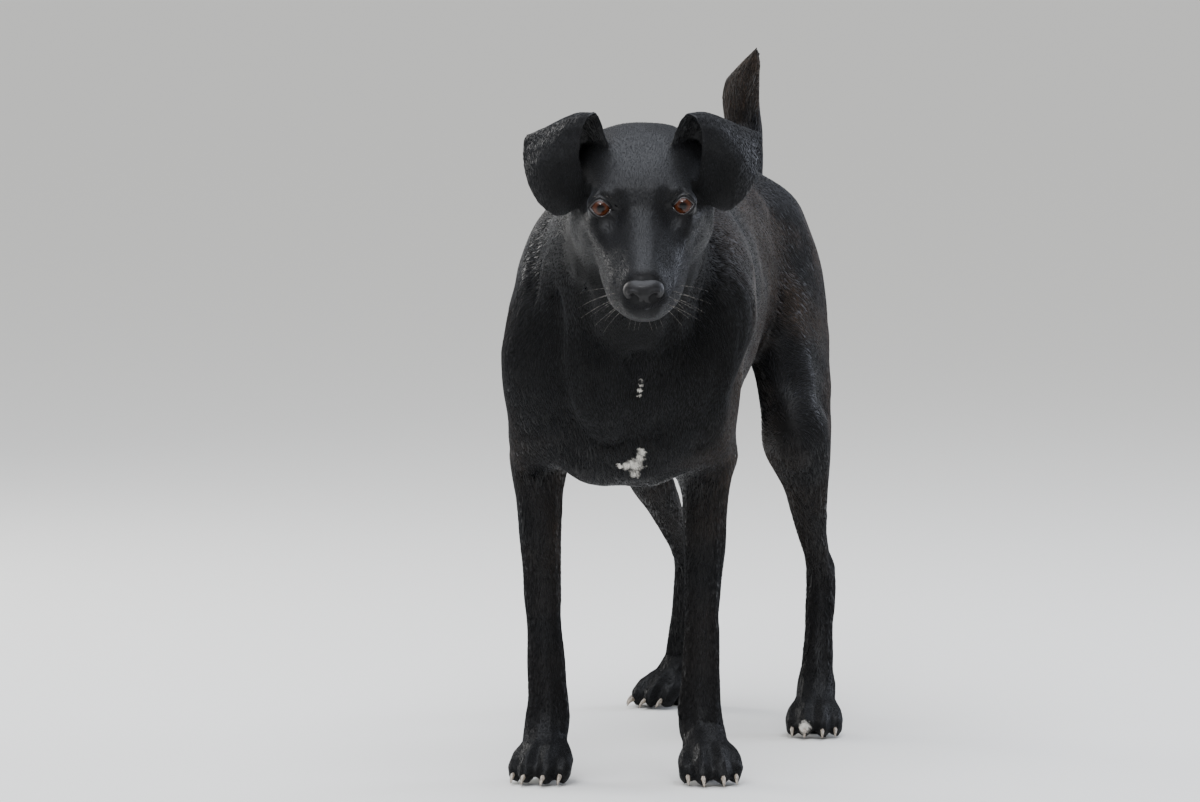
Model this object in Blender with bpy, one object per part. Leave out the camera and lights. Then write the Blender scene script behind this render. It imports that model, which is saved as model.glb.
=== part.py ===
"""A standing short-coated dog, life size, with folded ears and a raised tail.

The animal is first laid up as overlapping masses, the way a sculptor builds on an armature:
limbs are chains of oval sections and muscles are balls. One skin is drawn over all of them,
with a fillet of its own at every joint, and is then parted by thin plane cuts into named solids.

Frame while modelling: x to the dog's left, -y forward, z up, with z = 0 on the floor and y = 0
level with the front toes. The finished parts are moved so that the origin lies on the floor
under the centre of the whole animal's box. Lengths are metres; the head and paws are laid out
in millimetres in frames of their own.
"""

import math

import bmesh
import bpy
import numpy as np
from mathutils import Matrix, Vector

# ---------------------------------------------------------------- driving dimensions
MM = 0.001
CUT_GAP = 0.0003  # between solids that touch
SKIN_VOXEL = 0.004  # size of the first skin's facets
SKIN_TRIANGLES = 4100  # budget of the whole skin, before it is parted
SPLINE_STEPS = 4  # oval sections between two stations of a limb
FAR = 1.0  # a distance that blends with nothing

HEAD_YAW = math.radians(11)  # the head turns to the dog's left
HEAD_PITCH = math.radians(26)  # and the muzzle points down
HEAD_ROLL = math.radians(2)
EYE_LINE = Vector((0.054, -0.2156, 0.5506))  # just under midway between the eyeballs
EYE_SPACING = 0.073  # between the eyeballs' centres
EYE_RADIUS = 0.0102
EYE_RISE = 0.003  # of the eyeballs above the head frame's origin

FORWARD = Vector((0, -1, 0))
UP = Vector((0, 0, 1))


# ---------------------------------------------------------------- the armature's masses
def through_stations(stations):
    """Rows of numbers, made denser by a Catmull-Rom spline that passes through each of them."""
    rows = np.array(stations, float)
    ends = np.vstack([2 * rows[0] - rows[1], rows, 2 * rows[-1] - rows[-2]])
    dense = []
    for span in range(len(rows) - 1):
        p0, p1, p2, p3 = ends[span : span + 4]
        for step in range(SPLINE_STEPS):
            t = step / SPLINE_STEPS
            dense.append(
                0.5 * (2 * p1 + (p2 - p0) * t + (2 * p0 - 5 * p1 + 4 * p2 - p3) * t**2
                       + (3 * p1 - p0 - 3 * p2 + p3) * t**3)
            )
    dense.append(rows[-1])
    return np.array(dense)


def oval_distance(offset, radii):
    """About how far a point lies outside an oval ball of those radii."""
    scaled = offset / radii
    reach = np.linalg.norm(scaled, axis=1)
    slope = np.linalg.norm(scaled / radii, axis=1)
    return reach * (reach - 1) / np.maximum(slope, 1e-9)


def unit_rows(rows):
    return rows / np.maximum(np.linalg.norm(rows, axis=1), 1e-9)[:, None]


class Limb:
    """A chain of oval sections. A station is x, y, z, then its radii to the side, front and back."""

    def __init__(self, frame, stations, front, unit=1.0):
        rows = through_stations(stations) * unit
        turn = np.array(frame.to_3x3())
        self.points = rows[:, :3] @ turn.T + np.array(frame.translation)
        self.radii = rows[:, 3:]
        along = unit_rows(np.gradient(self.points, axis=0))
        front = turn @ np.array(front, float)
        self.front = unit_rows(front - along * (along @ front)[:, None])
        self.side = np.cross(along, self.front)
        self.along = along

    def balls(self):
        """Oval balls that roughly fill the limb: centre, axes and radii."""
        for i in range(len(self.points)):
            side, ahead, behind = self.radii[i]
            centre = self.points[i] + self.front[i] * (ahead - behind) / 2
            across = (ahead + behind) / 2
            yield centre, (self.side[i], self.front[i], self.along[i]), (side, across, min(side, across))

    def distance(self, points):
        start = self.points[:-1]
        span = self.points[1:] - start
        squared = (span**2).sum(1)
        reach = points @ span.T - (start * span).sum(1)
        t = np.clip(reach / squared, 0, 1)
        gap = (points**2).sum(1)[:, None] - 2 * points @ start.T + (start**2).sum(1)
        nearest = (gap - 2 * t * reach + t**2 * squared).argmin(1)
        t = t[np.arange(len(points)), nearest][:, None]

        def here(rows):
            return rows[nearest] * (1 - t) + rows[nearest + 1] * t

        offset = points - here(self.points)
        across = (offset * here(self.side)).sum(1)
        forward = (offset * here(self.front)).sum(1)
        beyond = np.sqrt(np.maximum((offset**2).sum(1) - across**2 - forward**2, 0))
        side, ahead, behind = here(self.radii).T
        depth = np.where(forward > 0, ahead, behind)
        size = np.stack([side, depth, np.minimum(side, depth)], axis=1)
        return oval_distance(np.stack([across, forward, beyond], axis=1), size)


class Ball:
    """One oval mass, square to its frame."""

    def __init__(self, frame, centre, radii, unit=1.0):
        self.axes = np.array(frame.to_3x3()).T
        self.centre = np.array(frame @ (Vector(centre) * unit))
        self.size = np.array(radii, float) * unit
        self.points = self.centre[None]
        self.radii = self.size[None]

    def balls(self):
        yield self.centre, self.axes, self.size

    def distance(self, points):
        return oval_distance((points - self.centre) @ self.axes.T, self.size[None])


class Clay:
    """Masses in the order they are laid on, each with the fillet it makes with those before it."""

    def __init__(self):
        self.masses = []

    def add(self, mass, fillet, carve=False):
        self.masses.append((mass, fillet, carve))

    def distance(self, points):
        """How far each point lies outside the blended skin; inside it is negative."""
        total = np.full(len(points), FAR)
        for mass, fillet, carve in self.masses:
            reach = mass.radii.max() + 0.035
            low, high = mass.points.min(0) - reach, mass.points.max(0) + reach
            near = ((points > low) & (points < high)).all(1)
            if not near.any():
                continue
            there = mass.distance(points[near])
            here = total[near]
            if carve:
                total[near] = -smooth_least(-here, there, fillet)
            else:
                total[near] = smooth_least(here, there, fillet)
        return total

    def settle(self, skin, rounds, most):
        """Moves a mesh's points along its normals until they lie on the blended skin."""
        for _ in range(rounds):
            points = positions(skin)
            flat = np.empty(len(points) * 3, np.float32)
            skin.data.vertex_normals.foreach_get("vector", flat)
            move = np.clip(0.9 * self.distance(points), -most, most)
            place(skin, points - flat.reshape(-1, 3) * move[:, None])


def smooth_least(a, b, fillet):
    """The lesser of two distances, rounded where they are nearly equal."""
    near = np.maximum(fillet - np.abs(a - b), 0) / fillet
    return np.minimum(a, b) - near**3 * fillet / 6


WORLD = Matrix.Identity(4)


# ---------------------------------------------------------------- frames of the head and paws
def head_frame():
    """x to the dog's left, y back along the muzzle, z up, from just under midway between the eyes."""
    turn = (
        Matrix.Rotation(HEAD_YAW, 4, "Z")
        @ Matrix.Rotation(HEAD_PITCH, 4, "X")
        @ Matrix.Rotation(-HEAD_ROLL, 4, "Y")
    )
    return Matrix.Translation(EYE_LINE) @ turn


def paw_frame(spot, toe_out):
    """Stands on the floor under a paw, with -y towards its toes."""
    return Matrix.Translation(spot) @ Matrix.Rotation(toe_out, 4, "Z")


HEAD = head_frame()


# ---------------------------------------------------------------- trunk, neck and tail
def lay_trunk(clay):
    spine = [  # x, y, z of the widest level, half width, up to the back, down to the belly
        (0.000, -0.068, 0.380, 0.036, 0.055, 0.045),
        (-0.002, -0.042, 0.392, 0.068, 0.095, 0.085),
        (-0.004, 0.005, 0.415, 0.084, 0.140, 0.131),
        (-0.005, 0.065, 0.425, 0.087, 0.150, 0.153),
        (-0.005, 0.130, 0.430, 0.090, 0.138, 0.158),
        (-0.003, 0.200, 0.435, 0.088, 0.127, 0.150),
        (0.001, 0.270, 0.442, 0.082, 0.118, 0.133),
        (0.005, 0.335, 0.452, 0.074, 0.108, 0.110),
        (0.008, 0.395, 0.455, 0.070, 0.106, 0.092),
        (0.010, 0.455, 0.455, 0.070, 0.100, 0.085),
        (0.010, 0.510, 0.450, 0.057, 0.082, 0.075),
        (0.010, 0.545, 0.452, 0.036, 0.058, 0.045),
    ]
    clay.add(Limb(WORLD, spine, UP), 0.03)
    for side in (-1, 1):  # breast muscles, between the forelegs
        clay.add(Ball(WORLD, (-0.010 + side * 0.024, 0.025, 0.328), (0.042, 0.058, 0.052)), 0.05)


def lay_neck(clay):
    stations = [
        (-0.006, 0.060, 0.445, 0.074, 0.128, 0.110),
        (0.000, -0.010, 0.470, 0.075, 0.112, 0.112),
        (0.014, -0.070, 0.500, 0.071, 0.096, 0.100),
        (0.029, -0.115, 0.532, 0.065, 0.080, 0.084),
        (0.040, -0.150, 0.556, 0.058, 0.066, 0.070),
    ]
    clay.add(Limb(WORLD, stations, UP), 0.05)


def lay_tail(clay):
    stations = [
        (0.010, 0.515, 0.498, 0.028, 0.026, 0.028),
        (0.008, 0.556, 0.517, 0.0225, 0.0225, 0.0225),
        (0.005, 0.598, 0.545, 0.0205, 0.0205, 0.0205),
        (0.000, 0.622, 0.582, 0.0205, 0.0205, 0.0205),
        (-0.001, 0.610, 0.614, 0.0205, 0.020, 0.020),
        (0.009, 0.586, 0.633, 0.0150, 0.0155, 0.0155),
        (0.019, 0.568, 0.648, 0.0090, 0.0095, 0.0095),
        (0.024, 0.560, 0.663, 0.0025, 0.0025, 0.0025),
    ]
    clay.add(Limb(WORLD, stations, Vector((0, -1, 1))), 0.03)


# ---------------------------------------------------------------- legs
def between(a, b, share, shift=(0, 0, 0)):
    return tuple(Vector(a).lerp(Vector(b), share) + Vector(shift))


def moved(a, shift):
    return tuple(Vector(a) + Vector(shift))


def lay_foreleg(clay, side, leg):
    def out(x, middle=-0.008):
        return middle + side * x

    elbow, carpus, pastern = leg["elbow"], leg["carpus"], leg["pastern"]
    shoulder = [
        (out(0.026, -0.002), 0.068, 0.548, 0.026, 0.035, 0.045),
        (out(0.067, 0.002), 0.040, 0.495, 0.036, 0.050, 0.062),
        (out(0.078, 0.005), -0.005, 0.435, 0.036, 0.052, 0.058),
        (out(0.073, -0.005), -0.036, 0.388, 0.031, 0.034, 0.042),
    ]
    upper_arm = [
        (out(0.072), -0.030, 0.395, 0.031, 0.036, 0.044),
        (*between((out(0.074), -0.005, 0.350), elbow, 0.25), 0.029, 0.036, 0.046),
        (*elbow, 0.0245, 0.028, 0.034),
    ]
    triceps = [
        (out(0.078, 0.001), 0.040, 0.430, 0.025, 0.038, 0.040),
        (*between((out(0.078), 0.055, 0.370), elbow, 0.2), 0.0255, 0.038, 0.042),
        (*moved(elbow, (0, 0.022, 0.010)), 0.013, 0.016, 0.015),
    ]
    forearm = [
        (*elbow, 0.0240, 0.027, 0.031),
        (*between(elbow, carpus, 0.25), 0.0225, 0.024, 0.028),
        (*between(elbow, carpus, 0.50), 0.0200, 0.020, 0.023),
        (*between(elbow, carpus, 0.78), 0.0172, 0.0165, 0.0185),
        (*carpus, 0.0190, 0.0170, 0.0180),
        (*between(carpus, pastern, 0.45), 0.0180, 0.0155, 0.0160),
        (*pastern, 0.0205, 0.0150, 0.0165),
    ]
    clay.add(Limb(WORLD, shoulder, FORWARD), 0.045)
    clay.add(Limb(WORLD, upper_arm, FORWARD), 0.030)
    clay.add(Limb(WORLD, triceps, FORWARD), 0.030)
    clay.add(Limb(WORLD, forearm, FORWARD), 0.025)
    carpal_pad = moved(carpus, (side * 0.003, 0.0155, -0.018))
    clay.add(Ball(WORLD, carpal_pad, (0.0065, 0.0060, 0.0080)), 0.012)
    dewclaw = [
        (*between(carpus, pastern, 0.30, (-side * 0.013, 0.004, 0)), 0.0065, 0.0065, 0.0065),
        (*between(carpus, pastern, 0.75, (-side * 0.0185, -0.002, 0)), 0.0055, 0.0055, 0.0055),
    ]
    clay.add(Limb(WORLD, dewclaw, FORWARD), 0.010)


def lay_hindleg(clay, side, leg):
    hip, stifle, hock, pastern = leg["hip"], leg["stifle"], leg["hock"], leg["pastern"]
    heel = moved(hock, (0, 0.016, 0.014))
    thigh = [
        (*moved(hip, (-side * 0.016, -0.005, 0.050)), 0.038, 0.055, 0.055),
        (*moved(hip, (0, 0, -0.010)), 0.040, 0.072, 0.068),
        (*between(hip, stifle, 0.55), 0.034, 0.060, 0.078),
        (*stifle, 0.031, 0.032, 0.044),
    ]
    hamstring = [
        (*moved(hip, (-side * 0.012, 0.070, 0.020)), 0.033, 0.030, 0.026),
        (*moved(hip, (0, 0.052, -0.055)), 0.033, 0.036, 0.032),
        (*between(stifle, hock, 0.18, (0, 0.028, 0.030)), 0.023, 0.030, 0.024),
    ]
    gaskin = [
        (*stifle, 0.030, 0.030, 0.038),
        (*between(stifle, hock, 0.30, (side * 0.003, 0, 0)), 0.0240, 0.024, 0.034),
        (*between(stifle, hock, 0.62, (side * 0.001, 0, 0)), 0.0150, 0.016, 0.022),
        (*between(stifle, hock, 0.88), 0.0128, 0.015, 0.016),
        (*hock, 0.0150, 0.016, 0.016),
    ]
    tendon = [
        (*between(stifle, heel, 0.45, (0, 0.018, 0.006)), 0.010, 0.014, 0.010),
        (*between(stifle, heel, 0.78, (0, 0.007, 0.005)), 0.0065, 0.009, 0.006),
        (*heel, 0.0095, 0.010, 0.009),
    ]
    metatarsus = [
        (*heel, 0.0100, 0.012, 0.008),
        (*between(hock, pastern, 0.12), 0.0152, 0.0160, 0.0150),
        (*between(hock, pastern, 0.55), 0.0152, 0.0135, 0.0130),
        (*pastern, 0.0175, 0.0150, 0.0150),
    ]
    clay.add(Limb(WORLD, thigh, FORWARD), 0.045)
    clay.add(Limb(WORLD, hamstring, FORWARD), 0.035)
    clay.add(Limb(WORLD, gaskin, FORWARD), 0.025)
    clay.add(Limb(WORLD, tendon, FORWARD), 0.015)
    clay.add(Limb(WORLD, metatarsus, FORWARD), 0.012)


def lay_paw(clay, leg, size):
    """Four toes, the outer two set back, and a heel pad; size is 1 for a forepaw."""
    frame = paw_frame(leg["paw"], leg["toe_out"])
    unit = MM * size
    ankle = np.array(frame.inverted() @ Vector(leg["pastern"])) / unit
    back_of_paw = [
        (*ankle, 20, 15, 16),
        (ankle[0] * 0.4, 2, 30, 22, 15, 15),
    ]
    clay.add(Limb(frame, back_of_paw, (0, -1, 1), unit), 0.012)
    for side in (-1, 1):
        outer = [(side * 12, 6, 29, 10, 11, 11), (side * 20, -6, 25, 9.5, 10, 10),
                 (side * 22.5, -19, 16, 9, 10, 10), (side * 22.5, -24, 9, 8, 9, 10)]
        inner = [(side * 5, 0, 31, 10, 11, 11), (side * 8, -15, 28, 9.5, 10, 10),
                 (side * 9, -30, 17, 8.8, 10, 10), (side * 9.3, -36, 9.5, 8, 9, 10)]
        clay.add(Limb(frame, outer, (0, -1, 0), unit), 0.006)
        clay.add(Limb(frame, inner, (0, -1, 0), unit), 0.0045)
    clay.add(Ball(frame, (0, 12, 11), (17, 13, 13), unit), 0.012)


# ---------------------------------------------------------------- head, in millimetres
def lay_head(clay):
    def ball(centre, radii, fillet, carve=False):
        sides = (1,) if centre[0] == 0 else (-1, 1)
        for s in sides:
            clay.add(Ball(HEAD, (s * centre[0], centre[1], centre[2]), radii, MM), fillet * MM, carve)

    def limb(stations, front, fillet):
        sides = (1,) if all(row[0] == 0 for row in stations) else (-1, 1)
        for s in sides:
            rows = [(s * row[0], *row[1:]) for row in stations]
            clay.add(Limb(HEAD, rows, front, MM), fillet * MM)

    ball((0, 48, -2), (47, 56, 36), 30)  # braincase
    ball((24, 55, 9.5), (25, 42, 25.5), 25)  # temple muscle
    ball((0, 90, 19.5), (42, 18, 14.5), 25)  # back of the skull
    ball((0, 20, 6), (36, 32, 26), 25)  # forehead
    ball((25, 10, 13), (16, 16, 10), 16)  # brow
    limb([(35, -6, -16, 11, 10, 14), (44, 22, -17, 11, 11, 14), (47, 58, -10, 12, 12, 14)], (0, 0, 1), 25)
    ball((38, 40, -38), (25, 34, 32), 25)  # cheek muscle
    ball((0, 66, -42), (50, 48, 38), 30)  # throat
    muzzle = [
        (0, 14, -18, 42, 24, 38),
        (0, -14, -24, 40, 23, 36),
        (0, -46, -31, 34, 20, 32),
        (0, -76, -36, 28, 19, 27),
        (0, -90, -37, 22, 16, 23),
    ]
    limb(muzzle, (0, 0, 1), 22)
    bridge = [(0, -6, 0, 16, 12, 12), (0, -45, -13, 15, 9, 10), (0, -84, -21, 14, 9, 10)]
    limb(bridge, (0, 0, 1), 14)
    lip = [(33, 0, -42, 10, 14, 14), (27, -36, -48, 11, 18, 16), (20, -70, -50, 11, 16, 14),
           (10, -86, -47, 10, 12, 11)]
    limb(lip, (0, 0, 1), 14)
    jaw = [(36, 44, -54, 14, 14, 13), (24, -10, -60, 12, 12, 11), (13, -58, -63, 11, 9, 10),
           (7, -76, -61, 10, 8, 9)]
    limb(jaw, (0, 0, 1), 14)
    ball((0, -78, -60), (14, 12, 9), 8)  # chin
    ball((0, -93, -32), (17.5, 12, 14), 7)  # nose
    ball((50, 66, 4), (13, 18, 22), 14)  # root of the ear
    rise = EYE_RISE / MM
    ball((36.5, 0.5, rise), (13.0, 12.6, 12.6), 6)  # eyelids
    ball((38.0, -12.6, rise + 3.6), (12.5, 8.5, 9.5), 2, carve=True)  # the opening between them


LEGS = {
    "front_left": {
        "elbow": (0.058, 0.088, 0.300), "carpus": (0.0570, 0.068, 0.106),
        "pastern": (0.0595, 0.058, 0.046), "paw": (0.070, 0.035, 0), "toe_out": math.radians(16),
    },
    "front_right": {
        "elbow": (-0.098, 0.062, 0.300), "carpus": (-0.0870, 0.046, 0.106),
        "pastern": (-0.0840, 0.034, 0.046), "paw": (-0.080, 0.011, 0), "toe_out": math.radians(-4),
    },
    "hind_left": {
        "hip": (0.070, 0.455, 0.440), "stifle": (0.095, 0.368, 0.292), "hock": (0.110, 0.440, 0.142),
        "pastern": (0.112, 0.398, 0.044), "paw": (0.114, 0.376, 0), "toe_out": math.radians(8),
    },
    "hind_right": {
        "hip": (-0.054, 0.455, 0.440), "stifle": (-0.073, 0.415, 0.290), "hock": (-0.044, 0.558, 0.145),
        "pastern": (-0.053, 0.574, 0.044), "paw": (-0.066, 0.562, 0), "toe_out": math.radians(-35),
    },
}


def lay_up_dog():
    clay = Clay()
    lay_trunk(clay)
    lay_neck(clay)
    for name, leg in LEGS.items():
        side = 1 if name.endswith("left") else -1
        lay = lay_foreleg if name.startswith("front") else lay_hindleg
        lay(clay, side, leg)
        lay_paw(clay, leg, 1.0 if name.startswith("front") else 0.93)
    lay_head(clay)
    lay_tail(clay)
    return clay


# ---------------------------------------------------------------- one skin over the masses
def mesh_object(name, points, faces):
    mesh = bpy.data.meshes.new(name)
    mesh.from_pydata([tuple(p) for p in points], [], faces)
    made = bpy.data.objects.new(name, mesh)
    bpy.context.scene.collection.objects.link(made)
    return made


def positions(obj):
    flat = np.empty(len(obj.data.vertices) * 3, np.float32)
    obj.data.vertices.foreach_get("co", flat)
    return flat.reshape(-1, 3).astype(float)


def place(obj, points):
    obj.data.vertices.foreach_set("co", points.astype(np.float32).ravel())
    obj.data.update()


def applied(obj, kind, **settings):
    """Adds a modifier with these settings and applies it."""
    modifier = obj.modifiers.new(kind.title(), kind)
    for key, value in settings.items():
        setattr(modifier, key, value)
    bpy.context.view_layer.update()
    graph = bpy.context.evaluated_depsgraph_get()
    mesh = bpy.data.meshes.new_from_object(obj.evaluated_get(graph))
    obj.modifiers.clear()
    old = obj.data
    obj.data = mesh
    bpy.data.meshes.remove(old)
    return obj


def rough_skin(clay):
    """Every mass as an oval ball, wrapped by one remeshed surface."""
    bm = bmesh.new()
    for mass, _, carve in clay.masses:
        if carve:
            continue
        for centre, axes, radii in mass.balls():
            matrix = Matrix(np.array(axes).T * np.array(radii)).to_4x4()
            matrix.translation = Vector(centre)
            if matrix.determinant() < 0:
                matrix = matrix @ Matrix.Diagonal((-1, 1, 1, 1))
            bmesh.ops.create_icosphere(bm, subdivisions=2, radius=1, matrix=matrix)
    mesh = bpy.data.meshes.new("skin")
    bm.to_mesh(mesh)
    bm.free()
    skin = bpy.data.objects.new("skin", mesh)
    bpy.context.scene.collection.objects.link(skin)
    return applied(skin, "REMESH", mode="VOXEL", voxel_size=SKIN_VOXEL)


def drawn_skin(clay):
    skin = rough_skin(clay)
    fine = skin.vertex_groups.new(name="fine")
    spots = positions(skin)
    from_face = np.linalg.norm(spots - np.array(HEAD @ Vector((0, -0.02, -0.01))), axis=1)
    for near, weight in ((spots[:, 2] < 0.05, 0.5), (from_face < 0.10, 0.9)):
        fine.add([int(i) for i in np.nonzero(near)[0]], weight, "REPLACE")
    clay.settle(skin, 1, 0.004)
    applied(skin, "SMOOTH", factor=0.5, iterations=2)
    thinned(skin, 3.2 * SKIN_TRIANGLES)
    clay.settle(skin, 2, 0.002)
    applied(skin, "SMOOTH", factor=0.3, iterations=1)
    thinned(skin, SKIN_TRIANGLES)
    clay.settle(skin, 1, 0.001)
    return skin


def thinned(skin, triangles):
    """Fewer facets, most of them kept on the face and the paws."""
    now = sum(len(face.vertices) - 2 for face in skin.data.polygons)
    return applied(skin, "DECIMATE", ratio=triangles / now, vertex_group="fine",
                   invert_vertex_group=True, vertex_group_factor=0.002, use_collapse_triangulate=True)


# ---------------------------------------------------------------- cutting
def copied(obj, name):
    made = obj.copy()
    made.data = obj.data.copy()
    made.name = name
    bpy.context.scene.collection.objects.link(made)
    return made


def drop(obj):
    mesh = obj.data
    bpy.data.objects.remove(obj)
    bpy.data.meshes.remove(mesh)


def half(obj, point, normal):
    """Keeps what lies on the side the normal points to, with a flat face where it was cut."""
    bm = bmesh.new()
    bm.from_mesh(obj.data)
    everything = bm.verts[:] + bm.edges[:] + bm.faces[:]
    cut = bmesh.ops.bisect_plane(bm, geom=everything, dist=0.00002, plane_co=point,
                                 plane_no=normal, clear_inner=True)
    rim = [e for e in cut["geom_cut"] if isinstance(e, bmesh.types.BMEdge) and e.is_boundary]
    bmesh.ops.remove_doubles(bm, verts=list({v for e in rim for v in e.verts}), dist=0.0001)
    rim = [e for e in bm.edges if e.is_boundary]
    bmesh.ops.holes_fill(bm, edges=rim, sides=0)
    bmesh.ops.triangulate(bm, faces=bm.faces[:])
    bmesh.ops.recalc_face_normals(bm, faces=bm.faces[:])
    bm.to_mesh(obj.data)
    bm.free()
    return obj


def parted(obj, point, normal, name):
    """Splits off the piece in front of a plane; a thin gap is left between the two."""
    point, normal = Vector(point), Vector(normal).normalized()
    piece = half(copied(obj, name), point + normal * CUT_GAP / 2, normal)
    half(obj, point - normal * CUT_GAP / 2, -normal)
    return piece


def loose_parts(obj):
    """The separate bodies of a mesh, as objects."""
    bm = bmesh.new()
    bm.from_mesh(obj.data)
    left = set(bm.verts)
    groups = []
    while left:
        stack = [left.pop()]
        group = set(stack)
        while stack:
            for edge in stack.pop().link_edges:
                for vert in edge.verts:
                    if vert in left:
                        left.remove(vert)
                        group.add(vert)
                        stack.append(vert)
        groups.append({v.index for v in group})
    bm.free()
    parts = []
    for number, group in enumerate(groups):
        part = copied(obj, obj.name + str(number))
        bm = bmesh.new()
        bm.from_mesh(part.data)
        bm.verts.ensure_lookup_table()
        bmesh.ops.delete(bm, geom=[v for v in bm.verts if v.index not in group], context="VERTS")
        bm.to_mesh(part.data)
        bm.free()
        parts.append(part)
    return parts


def combined(obj, tool, operation, crossed=False):
    """A Boolean, with the least facets it leaves merged away as far as the mesh stays closed."""
    applied(obj, "BOOLEAN", object=tool, operation=operation, solver="EXACT",
            use_self=crossed)
    for least in (0.0001, 0.00004, 0.00001, 0.000001):
        bm = bmesh.new()
        bm.from_mesh(obj.data)
        bmesh.ops.remove_doubles(bm, verts=bm.verts[:], dist=least)
        bmesh.ops.dissolve_degenerate(bm, edges=bm.edges[:], dist=least / 2)
        bmesh.ops.triangulate(bm, faces=bm.faces[:])
        closed = all(len(edge.link_faces) == 2 for edge in bm.edges)
        if closed:
            bm.to_mesh(obj.data)
        bm.free()
        if closed:
            break
    return obj


def floor_block():
    corners = [(x, y, z) for z in (-0.1, 0) for x, y in ((-1, -1), (1, -1), (1, 1), (-1, 1))]
    sides = [(i, (i + 1) % 4, (i + 1) % 4 + 4, i + 4) for i in range(4)]
    return mesh_object("floor", corners, [(3, 2, 1, 0), (4, 5, 6, 7), *sides])


def trimmed(part, body):
    """Takes away from a part what would lie inside the body, and a thin gap more."""
    tool = copied(body, "tool")
    spots = positions(tool)
    middle = spots.mean(0)
    size = np.linalg.norm(spots - middle, axis=1).mean()
    place(tool, middle + (spots - middle) * (1 + CUT_GAP / size))
    combined(part, tool, "DIFFERENCE")
    drop(tool)
    bodies = sorted(loose_parts(part), key=lambda o: len(o.data.vertices))
    for extra in bodies[:-1]:
        drop(extra)
    name = part.name
    drop(part)
    bodies[-1].name = name
    return bodies[-1]


def oval(name, frame, centre, radii, turns=16, rings=10):
    mesh = bpy.data.meshes.new(name)
    bm = bmesh.new()
    bmesh.ops.create_uvsphere(bm, u_segments=turns, v_segments=rings, radius=1.0,
                              matrix=frame @ Matrix.Translation(Vector(centre) * MM)
                              @ Matrix.Diagonal((*(r * MM for r in radii), 1)))
    bmesh.ops.triangulate(bm, faces=bm.faces[:])
    bm.to_mesh(mesh)
    bm.free()
    made = bpy.data.objects.new(name, mesh)
    bpy.context.scene.collection.objects.link(made)
    return made


# ---------------------------------------------------------------- ears
EAR = [  # rows from the root over the fold to the tip; each from the front edge to the back edge
    [(24, 40, 28), (40, 66, 30), (56, 80, 14), (60, 64, -8)],
    [(31, 46, 50), (50, 72, 50), (73, 84, 34), (80, 78, 8)],
    [(42, 52, 67), (60, 68, 57), (82, 82, 39), (103, 90, 24)],
    [(54, 43, 57), (71, 54, 49), (90, 71, 34), (110, 84, 21)],
    [(54, 31, 36), (71, 34, 33), (91, 47, 24), (106, 66, 11)],
    [(50, 23, 16), (66, 20, 13), (84, 28, 8), (102, 48, 0)],
    [(52, 18, -2), (66, 16, -8), (80, 20, -13), (93, 34, -11)],
    [(66, 17, -11), (71, 17, -14), (77, 19, -15), (83, 23, -15)],
]
EAR_THICKNESS = 0.0042
RIGHT_FOLD_SHIFT = (-4, 0, 4)  # the right ear folds a little higher and nearer the crown


def ear_rows(side):
    """The rows in millimetres; x is mirrored for the right ear, whose fold is also shifted."""
    rows = []
    for number, row in enumerate(EAR):
        shift = RIGHT_FOLD_SHIFT if side < 0 and number in (2, 3) else (0, 0, 0)
        rows.append([(side * (x + shift[0]), y + shift[1], z + shift[2]) for x, y, z in row])
    return rows


def ear(name, side):
    rows = [through_stations(row)[::2] for row in ear_rows(side)]
    columns = [through_stations([row[i] for row in rows])[::2] for i in range(len(rows[0]))]
    grid = np.array(columns).transpose(1, 0, 2) * MM
    turn = np.array(HEAD.to_3x3())
    grid = grid @ turn.T + np.array(HEAD.translation)
    along, across = np.gradient(grid, axis=0), np.gradient(grid, axis=1)
    normal = np.cross(along, across)
    normal = normal / np.linalg.norm(normal, axis=2)[..., None] * side
    edge = np.linspace(-1, 1, grid.shape[1])
    thick = EAR_THICKNESS * (1 - 0.35 * np.abs(edge) ** 3)[None, :, None] / 2
    inner, outer = grid - normal * thick, grid + normal * thick
    height, width = grid.shape[:2]

    def at(layer, i, j):
        return layer * height * width + i * width + j

    faces = []
    for i in range(height - 1):
        for j in range(width - 1):
            faces.append((at(0, i, j), at(0, i, j + 1), at(0, i + 1, j + 1), at(0, i + 1, j)))
            faces.append((at(1, i, j), at(1, i + 1, j), at(1, i + 1, j + 1), at(1, i, j + 1)))
    rim = [(0, j) for j in range(width)] + [(i, width - 1) for i in range(1, height)]
    rim += [(height - 1, j) for j in range(width - 2, -1, -1)] + [(i, 0) for i in range(height - 2, 0, -1)]
    for (i, j), (k, m) in zip(rim, rim[1:] + rim[:1]):
        faces.append((at(0, i, j), at(1, i, j), at(1, k, m), at(0, k, m)))
    made = mesh_object(name, np.vstack([inner.reshape(-1, 3), outer.reshape(-1, 3)]), faces)
    outward(made)
    return made


def outward(obj):
    bm = bmesh.new()
    bm.from_mesh(obj.data)
    bmesh.ops.triangulate(bm, faces=bm.faces[:])
    bmesh.ops.recalc_face_normals(bm, faces=bm.faces[:])
    if bm.calc_volume(signed=True) < 0:
        bmesh.ops.reverse_faces(bm, faces=bm.faces[:])
    bm.to_mesh(obj.data)
    bm.free()


# ---------------------------------------------------------------- claws
CLAW = [(0, 0, 3.2), (-5, -0.5, 3.0), (-9, -3.2, 2.2), (-11.5, -7.0, 0.7)]  # y, z and radius


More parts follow.
